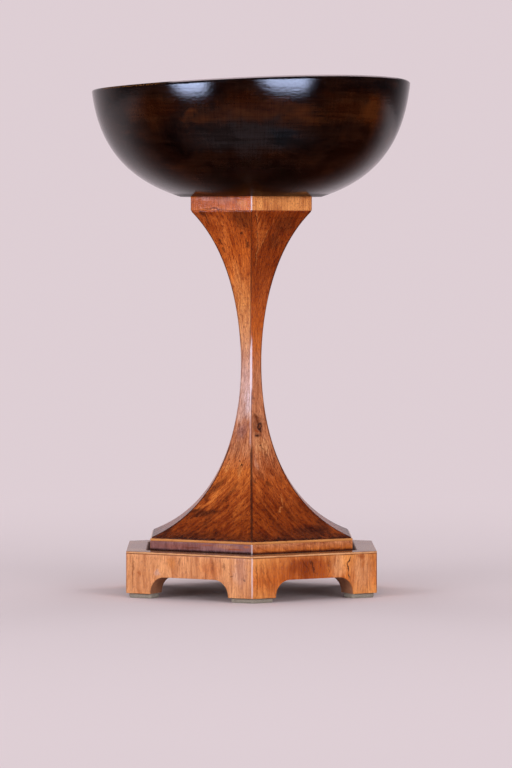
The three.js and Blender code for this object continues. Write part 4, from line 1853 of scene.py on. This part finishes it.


# The darker bands at the foot and at the head are partly the wood's tone and partly painted shade.
# The rose bands over the left leaf's waist are partly its tone and partly painted sheen.
STEM_LEFT_BANDS = bands(
    (50, UMBER), (57, CHESTNUT), (84, RUSSET), (104, AMBER), (122, COPPER), (144, COPPER), (149, ROSE),
    (185, ROSE), (215, TAN), (245, HONEY), (270, AMBER), (290, RUST), (324, RUSSET),
)
STEM_RIGHT_BANDS = bands(
    (50, UMBER), (56, CHESTNUT), (72, CHESTNUT), (96, RUSSET), (114, SIENNA), (134, COPPER), (160, COPPER),
    (185, COPPER), (210, AMBER), (228, RUST), (250, RUSSET), (275, CHESTNUT), (324, CHESTNUT),
)
STEM_LEFT_MARKS = (
    # Painted shade in the crease where the foot meets the step
    patch(0, 49.6, 70, 1.1, SOOT, 0.8, ragged=0.3),
    patch(17, 318, 13, 12, UMBER, 0.75, ragged=0.9),
    patch(-17, 318, 1.2, 8, SOOT, 0.8),
    patch(-20, 322, 3, 3, SOOT, 0.6),
    patch(-7, 300, 5, 22, AMBER, 0.6),
    patch(-2, 262, 5, 22, HONEY, 0.5),
    patch(12, 305, 1.2, 2.5, SOOT, 0.7),
    patch(13, 296, 1.4, 3.5, SOOT, 0.7),
    patch(-11, 298, 1.2, 2.5, SOOT, 0.7),
    patch(-11, 292, 1.0, 3.0, SOOT, 0.6),
    patch(2, 200, 0.7, 16, SOOT, 0.35),
    # Painted sheen on the waist, in two patches
    patch(2.5, 162, 3.4, 13, PAINTED_SHEEN, 0.6, ragged=0.4),
    patch(0, 172, 5, 26, PAINTED_SHEEN, 0.15),
    patch(0, 138, 7, 9, PLUM, 0.6, ragged=0.9),
    patch(-3, 140, 0.8, 9, SOOT, 0.35),
    patch(1, 136, 0.7, 7, SOOT, 0.3),
    patch(-6, 128, 0.6, 16, UMBER, 0.5, lean=12),
    patch(4, 127, 0.6, 12, UMBER, 0.4, lean=8),
    patch(-2, 122, 2.5, 14, UMBER, 0.35),
    patch(4.5, 106, 2.5, 7, HONEY, 0.8),
    patch(-9, 107, 3, 4, HONEY, 0.7),
    patch(3, 112, 0.7, 0.7, SOOT, 0.8, ragged=0.2),
    patch(5, 108, 0.9, 0.7, SOOT, 0.9, ragged=0.2),
    patch(2, 104, 0.7, 0.7, SOOT, 0.8, ragged=0.2),
    patch(-8, 113, 0.8, 2.2, SOOT, 0.7, lean=25),
    patch(-14, 91, 4, 13, UMBER, 0.7, lean=40),
    patch(-20, 81, 5, 3, UMBER, 0.7, lean=60),
    patch(-12, 82, 5, 9, AMBER, 0.8, lean=35),
    patch(-21, 74, 3, 8, AMBER, 0.8, lean=68),
    patch(1, 85, 2.2, 14, UMBER, 0.6, lean=28),
    patch(-14, 69.5, 2.6, 17, SOOT, 0.7, lean=78),
    patch(-24, 71, 2.2, 7, SOOT, 0.7, lean=80),
    patch(4, 76, 2, 1, SOOT, 0.6, ragged=0.3),
    patch(16, 78, 6, 20, AMBER, 0.4, lean=-8),
    patch(-40, 57, 9, 4, SOOT, 0.7, lean=70),
    patch(-8, 61, 18, 3, UMBER, 0.5, lean=85),
)
STEM_RIGHT_MARKS = (
    # Painted shade in the crease where the foot meets the step
    patch(0, 49.6, 70, 1.1, SOOT, 0.8, ragged=0.3),
    patch(-19, 312, 5, 16, RUSSET, 0.8, lean=-28),
    patch(-12, 304, 5, 16, AMBER, 0.45, lean=-10),
    patch(8, 312, 14, 10, UMBER, 0.7),
    patch(4, 298, 8, 8, UMBER, 0.7),
    patch(-20.5, 316, 0.5, 9, SOOT, 0.8, lean=-32, ragged=0.2),
    patch(-19.7, 316, 0.5, 9, HONEY, 0.5, lean=-32, ragged=0.2),
    patch(-14.6, 303, 0.5, 8, SOOT, 0.8, lean=-24, ragged=0.2),
    patch(-13.9, 303, 0.5, 8, HONEY, 0.5, lean=-24, ragged=0.2),
    patch(-10.3, 287, 0.5, 13, SOOT, 0.7, lean=-6, ragged=0.2),
    patch(-9.6, 287, 0.5, 13, HONEY, 0.4, lean=-6, ragged=0.2),
    patch(-6.5, 302, 0.5, 15, HONEY, 0.4, lean=9, ragged=0.2),
    patch(-5.7, 302, 0.5, 15, SOOT, 0.4, lean=9, ragged=0.2),
    patch(-1, 143, 6, 11, UMBER, 0.6, ragged=1.0),
    patch(-2.6, 150.5, 2.2, 2.6, UMBER, 0.95, ragged=0.6),
    patch(-1.5, 146.5, 1.3, 3.4, UMBER, 0.9, lean=-30, ragged=0.5),
    patch(0, 141.5, 2.4, 3.0, UMBER, 0.7, ragged=0.3),
    patch(0, 141.5, 2.5, 3.1, SOOT, 0.95, hollow=True, ragged=0.15),
    patch(0.5, 138, 1.4, 1.0, SOOT, 0.9, ragged=0.4),
    patch(-3.5, 134, 3.2, 2.2, SOOT, 0.95, ragged=0.7),
    patch(-3.5, 137.5, 1.6, 1.2, RUSSET, 0.9, ragged=0.5),
    patch(-5, 141, 1.2, 7, UMBER, 0.5, ragged=0.8),
    patch(-5, 165, 2.0, 2.5, SOOT, 0.5, ragged=1.0),
    patch(6, 147, 1.2, 3.0, SOOT, 0.6),
    patch(0, 125, 8, 9, TAN, 0.9, ragged=0.9),
    patch(2, 120, 0.5, 5, RUSSET, 0.7, lean=35, ragged=0.5),
    patch(-3, 118, 0.5, 4, RUSSET, 0.7, lean=-20, ragged=0.5),
    patch(-2, 125, 1.2, 0.9, SOOT, 0.8, ragged=0.4),
    patch(-1, 122, 1.0, 0.9, SOOT, 0.7, ragged=0.4),
    patch(2, 117, 6, 1.0, UMBER, 0.5, lean=90),
    patch(-9, 111, 1.8, 6, ROSE, 0.3),
    patch(-16, 96, 2.5, 1.5, SOOT, 0.6),
    patch(-2, 93, 3.5, 2.0, UMBER, 0.7, lean=50),
    patch(3, 104, 5, 3.5, CHESTNUT, 0.7, lean=30, ragged=0.9),
    patch(-7, 102, 2.0, 6, UMBER, 0.5, lean=-20),
    patch(8, 108, 1.2, 7, UMBER, 0.6, lean=-25),
    patch(-9, 80, 4, 8, CHESTNUT, 0.6, lean=-20, ragged=0.9),
    patch(6, 70, 9, 3, UMBER, 0.5, lean=70, ragged=0.9),
    patch(26, 72, 5, 12, UMBER, 0.4, lean=-50),
    patch(12, 96, 6, 2.5, UMBER, 0.5, lean=60),
    patch(5, 80, 0.9, 7, HONEY, 0.45, lean=20),
    patch(0, 73, 0.9, 5, HONEY, 0.45, lean=65),
    patch(12, 84, 7, 12, RUSSET, 0.5),
    patch(18, 56, 22, 5, SOOT, 0.65),
    patch(-12, 60, 24, 4, UMBER, 0.4, lean=84, ragged=0.9),
    patch(32, 60, 8, 7, SOOT, 0.5),
)
STEM_LEFT_LINES = (
    line(-1, 45, 130, 1.6, SOOT, 0.85),
    line(-1, 122, 260, 1.0, UMBER, 0.7),
    line(-1, 250, 330, 1.4, SOOT, 0.8),
    line(1, 45, 126, 1.6, SOOT, 0.8),
    # Painted highlights on the rounded front arris over the waist
    line(1, 122, 166, 2.2, PAINTED_SHEEN, 0.25),
    line(1, 154, 214, 1.3, PAINTED_SHEEN, 0.9),
    line(1, 206, 330, 1.2, UMBER, 0.75),
)
STEM_RIGHT_LINES = (
    line(1, 45, 130, 1.4, SOOT, 0.8),
    line(1, 122, 165, 1.4, UMBER, 0.9),
    line(1, 160, 260, 0.9, UMBER, 0.7),
    line(1, 250, 330, 1.4, SOOT, 0.8),
    line(-1, 45, 130, 1.6, SOOT, 0.8),
    line(-1, 122, 178, 1.1, UMBER, 0.75),
    # Painted highlight on the rounded front arris over the waist
    line(-1, 168, 220, 1.1, PAINTED_SHEEN, 0.9),
    line(-1, 248, 330, 0.9, SOOT, 0.5),
)

STEM_LEFT = Veneer(
    STEM_LEFT_BANDS, clouds=0.65, streaks=0.8, flecks=0.85, mottle=0.7, blend=14 * MM,
    cloud=(0.010, 0.022), streak=(0.0018, 0.020), sway=20 * MM, slant=42.0, figure=1.0,
    marks=STEM_LEFT_MARKS, lines=STEM_LEFT_LINES,
)
STEM_RIGHT = replace(
    STEM_LEFT, bands=STEM_RIGHT_BANDS, marks=STEM_RIGHT_MARKS, lines=STEM_RIGHT_LINES, sway=0.0, slant=-24.0,
)
CAP_LEFT = Veneer(
    bands((324, AMBER), (329, RUST), (336, RUST)), clouds=0.6, streaks=0.4, flecks=0.5,
    marks=(
        patch(-6, 325.3, 12, 0.9, UMBER, 0.9, lean=2),
        patch(-14, 330, 6, 4, RUSSET, 0.5),
        patch(0, 330, 40, 10, CHESTNUT, 0.14, ragged=0.4),
        # Painted sheen along the top left
        patch(-16, 334, 10, 2.5, PAINTED_SHEEN, 0.16),
        patch(4, 333, 12, 3, ROSE, 0.25),
        patch(20, 330, 6, 4, HONEY, 0.5),
    ),
    # A painted highlight on the front arris, and a dark line of gathered polish on the other
    lines=(line(1, 310, 350, 0.8, PAINTED_SHEEN, 0.9), line(-1, 310, 350, 0.9, UMBER, 0.6)),
)
CAP_RIGHT = Veneer(
    bands((324, HONEY), (336, HONEY)), clouds=0.5, streaks=0.5, flecks=0.7, fleck=(0.0006, 0.0016),
    # A painted highlight on the front arris, and a dark line of gathered polish on the other
    lines=(line(-1, 310, 350, 0.8, PAINTED_SHEEN, 0.9), line(1, 310, 350, 0.9, UMBER, 0.6)),
)
STEP_LEFT = Veneer(
    # The sooty bottom of the bands paints the shade in the corner where the step meets the plinth's ledge
    bands((39, SOOT), (40, SOOT), (41.5, PLUM), (47, PLUM)), clouds=0.4, streaks=0.3, flecks=0.4,
    marks=(
        patch(-20, 43, 24, 2.5, CHESTNUT, 0.4),
        patch(-34, 44, 6, 0.8, SOOT, 0.4, lean=88),
        patch(-8, 42.5, 11, 0.8, UMBER, 0.6),
        patch(6, 45, 9, 0.9, RUSSET, 0.6),
        patch(25, 44.5, 14, 2, COPPER, 0.6),
        patch(33, 42.5, 10, 0.9, RUSSET, 0.7),
        patch(44, 45, 4, 1.4, AMBER, 0.6),
    ),
    warp=2 * MM,
    # Painted highlight on the front arris
    lines=(line(1, 30, 60, 0.9, PAINTED_SHEEN, 0.6),),
)
STEP_RIGHT = Veneer(
    # The sooty bottom of the bands paints the shade in the corner where the step meets the plinth's ledge
    bands((39, SOOT), (40, UMBER), (41.5, AMBER), (47, COPPER)), clouds=0.9, streaks=0.6, flecks=0.5,
    streak=(0.004, 0.006), cloud=(0.010, 0.006),
    # Painted highlight on the front arris
    lines=(line(-1, 30, 60, 0.9, PAINTED_SHEEN, 0.6),),
)
PLINTH_LEFT = Veneer(
    bands((4, TAN), (20, TAN), (36.6, TAN), (37.5, UMBER)), clouds=0.7, streaks=0.5, flecks=0.35,
    cloud=(0.009, 0.05),
    marks=(
        patch(0, 22, 80, 24, AMBER, 0.14, ragged=0.2),
        patch(-54, 22, 0.8, 16, UMBER, 0.5),
        patch(-47, 21, 2.0, 2.0, RUSSET, 0.6),
        patch(-30, 22, 3.0, 3.0, ROSE, 0.8),
        patch(-16, 30, 5, 7, HONEY, 0.7),
        patch(-8, 32, 0.8, 6, UMBER, 0.5),
        patch(20, 27, 14, 9, AMBER, 0.5),
        patch(24, 30, 1.0, 7, UMBER, 0.4),
        patch(34, 29, 1.0, 7, UMBER, 0.5),
        patch(42, 22.5, 0.6, 3.0, SOOT, 0.8, lean=70, ragged=0.3),
        patch(53, 20, 0.7, 1.8, SOOT, 0.9, lean=-65, ragged=0.3),
        patch(49, 26, 8, 16, ROSE, 0.5),
    ),
    # A painted highlight on the front arris, and a dark line of gathered polish on the other
    lines=(line(1, 0, 42, 1.0, PAINTED_SHEEN, 0.6), line(-1, 0, 42, 0.8, UMBER, 0.5)),
)
PLINTH_RIGHT = Veneer(
    bands((4, HONEY), (18, AMBER), (36.6, HONEY), (37.5, UMBER)), clouds=0.8, streaks=0.6,
    flecks=0.4, cloud=(0.009, 0.05),
    marks=(
        patch(-30, 22, 30, 24, RUSSET, 0.2, ragged=0.2),
        patch(-56, 22, 0.8, 20, UMBER, 0.6),
        patch(-49, 22, 1.0, 14, UMBER, 0.6, lean=-14),
        patch(-44, 20, 1.0, 12, UMBER, 0.5, lean=-16),
        patch(-26, 32, 7, 4, HONEY, 0.9),
        patch(-20, 22, 36, 20, RUST, 0.6, ragged=0.6),
        patch(-8, 27, 22, 14, RUSSET, 0.95, ragged=0.6),
        patch(-12, 28, 13, 9, CHESTNUT, 0.8, ragged=0.9),
        patch(5, 27, 8, 11, RUSSET, 0.9, ragged=0.9),
        patch(-8.5, 29, 0.8, 8, UMBER, 0.8, lean=-30),
        patch(-2, 29, 0.9, 8, SOOT, 0.7, lean=-26),
        patch(13, 26, 0.4, 14, UMBER, 0.6, ragged=0.2),
        patch(22, 28, 8, 14, TAN, 0.8),
        patch(33.5, 32.5, 0.8, 4.5, SOOT, 1.0, lean=20, ragged=0.2),
        patch(32, 26, 0.9, 4, SOOT, 1.0, ragged=0.2),
        patch(33.6, 20, 0.8, 3.5, SOOT, 1.0, lean=-30, ragged=0.2),
        patch(46, 22, 12, 20, TAN, 0.8),
        patch(47, 29, 2.5, 4, AMBER, 0.5),
        patch(45, 35, 4, 2, RUSSET, 0.6),
    ),
    # A painted highlight on the front arris, and a dark line of gathered polish on the other
    lines=(line(-1, 0, 42, 1.0, PAINTED_SHEEN, 0.6), line(1, 0, 42, 1.0, UMBER, 0.7)),
)
BOWL_MARKS = (
    patch(-98, 408, 30, 15, GLOW, 0.7, ragged=1.6),
    patch(-58, 400, 9, 5, EMBER, 0.5, ragged=1.2),
    patch(-20, 400, 50, 9, GLOW, 0.6, ragged=1.8),
    patch(6, 408, 24, 13, GLOW, 0.7, ragged=1.6),
    patch(100, 408, 46, 17, GLOW, 0.7, ragged=1.6),
    patch(116, 404, 16, 14, EMBER, 0.5, ragged=1.6),
    # Painted reflection: a grey veil and a bluish patch over the middle of the bowl
    patch(0, 384, 60, 16, VEIL_REFLECTION, 0.75, ragged=1.2),
    patch(31, 384, 20, 8, BLUE_REFLECTION, 0.7, ragged=1.2),
    # Painted shade on the bowl's underside just above the cap
    patch(0, 352, 90, 12, BASE_SHADE, 0.8, ragged=0.8),
    # Painted bluish reflection just under the rim
    patch(-40, 430, 60, 5, BLUE_REFLECTION, 0.5, ragged=1.2),
)


def six_leaves(name: str, veneers: tuple[Veneer, ...]) -> dict[Side, Finish]:
    """One leaf of veneer for each face, every one from its own place in the noise.

    Args:
        name: The start of the materials' names.
        veneers: The figure of each face, in the order of Side.

    Returns:
        The veneers.
    """
    return {
        side: replace(veneer, name=f"{name}_{side.value}", seed=7.3 * number + 1.7)
        for number, (side, veneer) in enumerate(zip(Side, veneers))
    }


def stem_leaves() -> dict[Side, Finish]:
    """The stem's six veneers. Leaves that follow each other in the log show each other's figure mirrored."""
    left_back = replace(STEM_LEFT, marks=mirrored(STEM_LEFT_MARKS), sway=0.0, slant=-STEM_LEFT.slant)
    right_back = replace(STEM_RIGHT, marks=mirrored(STEM_RIGHT_MARKS))
    return six_leaves("stem_walnut", (STEM_RIGHT, left_back, STEM_LEFT, right_back, left_back, STEM_LEFT))


def build_cap_and_step() -> None:
    """Builds the boards round the cap and the step."""
    cap = FacedBoard("cap_board", "cap_facing", "cap_veneer", CAP_HALF, FACING, STEM_TOP, CAP_TOP)
    cap.build(six_leaves("cap_honey", (CAP_RIGHT, CAP_LEFT) * 3))
    levels = (PLINTH_TOP, STEP_LEAF_BOTTOM)
    step = FacedBoard("step_board", "step_facing", "step_veneer", STEP_HALF, FACING, *levels)
    step.build(six_leaves("step_walnut", (STEP_RIGHT, STEP_LEFT) * 3))


def build_plinth() -> None:
    """Builds the plinth's facings and rails with their arches."""
    levels = (PLINTH_BOTTOM, BOARD_TOP)
    facing = FacedBoard(
        "plinth_board_front", "plinth_facing", "plinth_veneer", PLINTH_HALF, FACING, *levels, arch=Arch()
    )
    facing.build(six_leaves("plinth_honey", (PLINTH_RIGHT, PLINTH_LEFT) * 3))
    rail = FacedBoard(
        "plinth_rail_board", "plinth_rail", "core_wood", RAIL_HALF, RAIL, PLINTH_BOTTOM, BOARD_BOTTOM,
        arris=0.1 * MM, eased=0.3 * MM, arch=Arch(),
    )
    wood = PlainWood("rail", RAIL_LIGHT, RAIL_DARK, 0.55)
    rail.build({side: replace(wood, name=f"rail_{side.value}", turn=side.turn) for side in Side})


def build_top_leaves() -> None:
    """Builds the top leaves of the step and the plinth."""
    light, dark = (0.64, 0.27, 0.09), (0.46, 0.15, 0.04)
    step = TopLeaf("step_leaf", "step_top_leaf", "step_leaf", STEP_HALF, STEP_LEAF_BOTTOM, STEP_TOP)
    step.build(PlainWood("step_leaf_wood", light, dark, 0.1, open_grain=0.1, shine=0.5))
    plinth_wood = PlainWood(
        "plinth_leaf_wood", (0.72, 0.36, 0.17), (0.36, 0.15, 0.06), 0.2, open_grain=0.2, shine=0.2,
        top=(PLINTH_TOP, (0.30, 0.135, 0.060)), carries=STEP_HALF,
    )
    plinth = TopLeaf("plinth_leaf", "plinth_top_leaf", "plinth_leaf", PLINTH_HALF, BOARD_TOP, PLINTH_TOP)
    plinth.build(plinth_wood)


def main() -> None:
    """Builds the pedestal bowl, its studio and its camera."""
    logging.basicConfig(level=logging.INFO, format="%(message)s")
    bpy.context.scene.view_settings.view_transform = "Standard"
    Camera().build()
    Studio().build()
    Bowl().build(TurnedLacquer(marks=BOWL_MARKS))
    Stem().build(stem_leaves())
    build_cap_and_step()
    build_plinth()
    build_top_leaves()
    FeltPads().build(Felt())
    HiddenWood().dress()


if __name__ == "__main__":
    main()
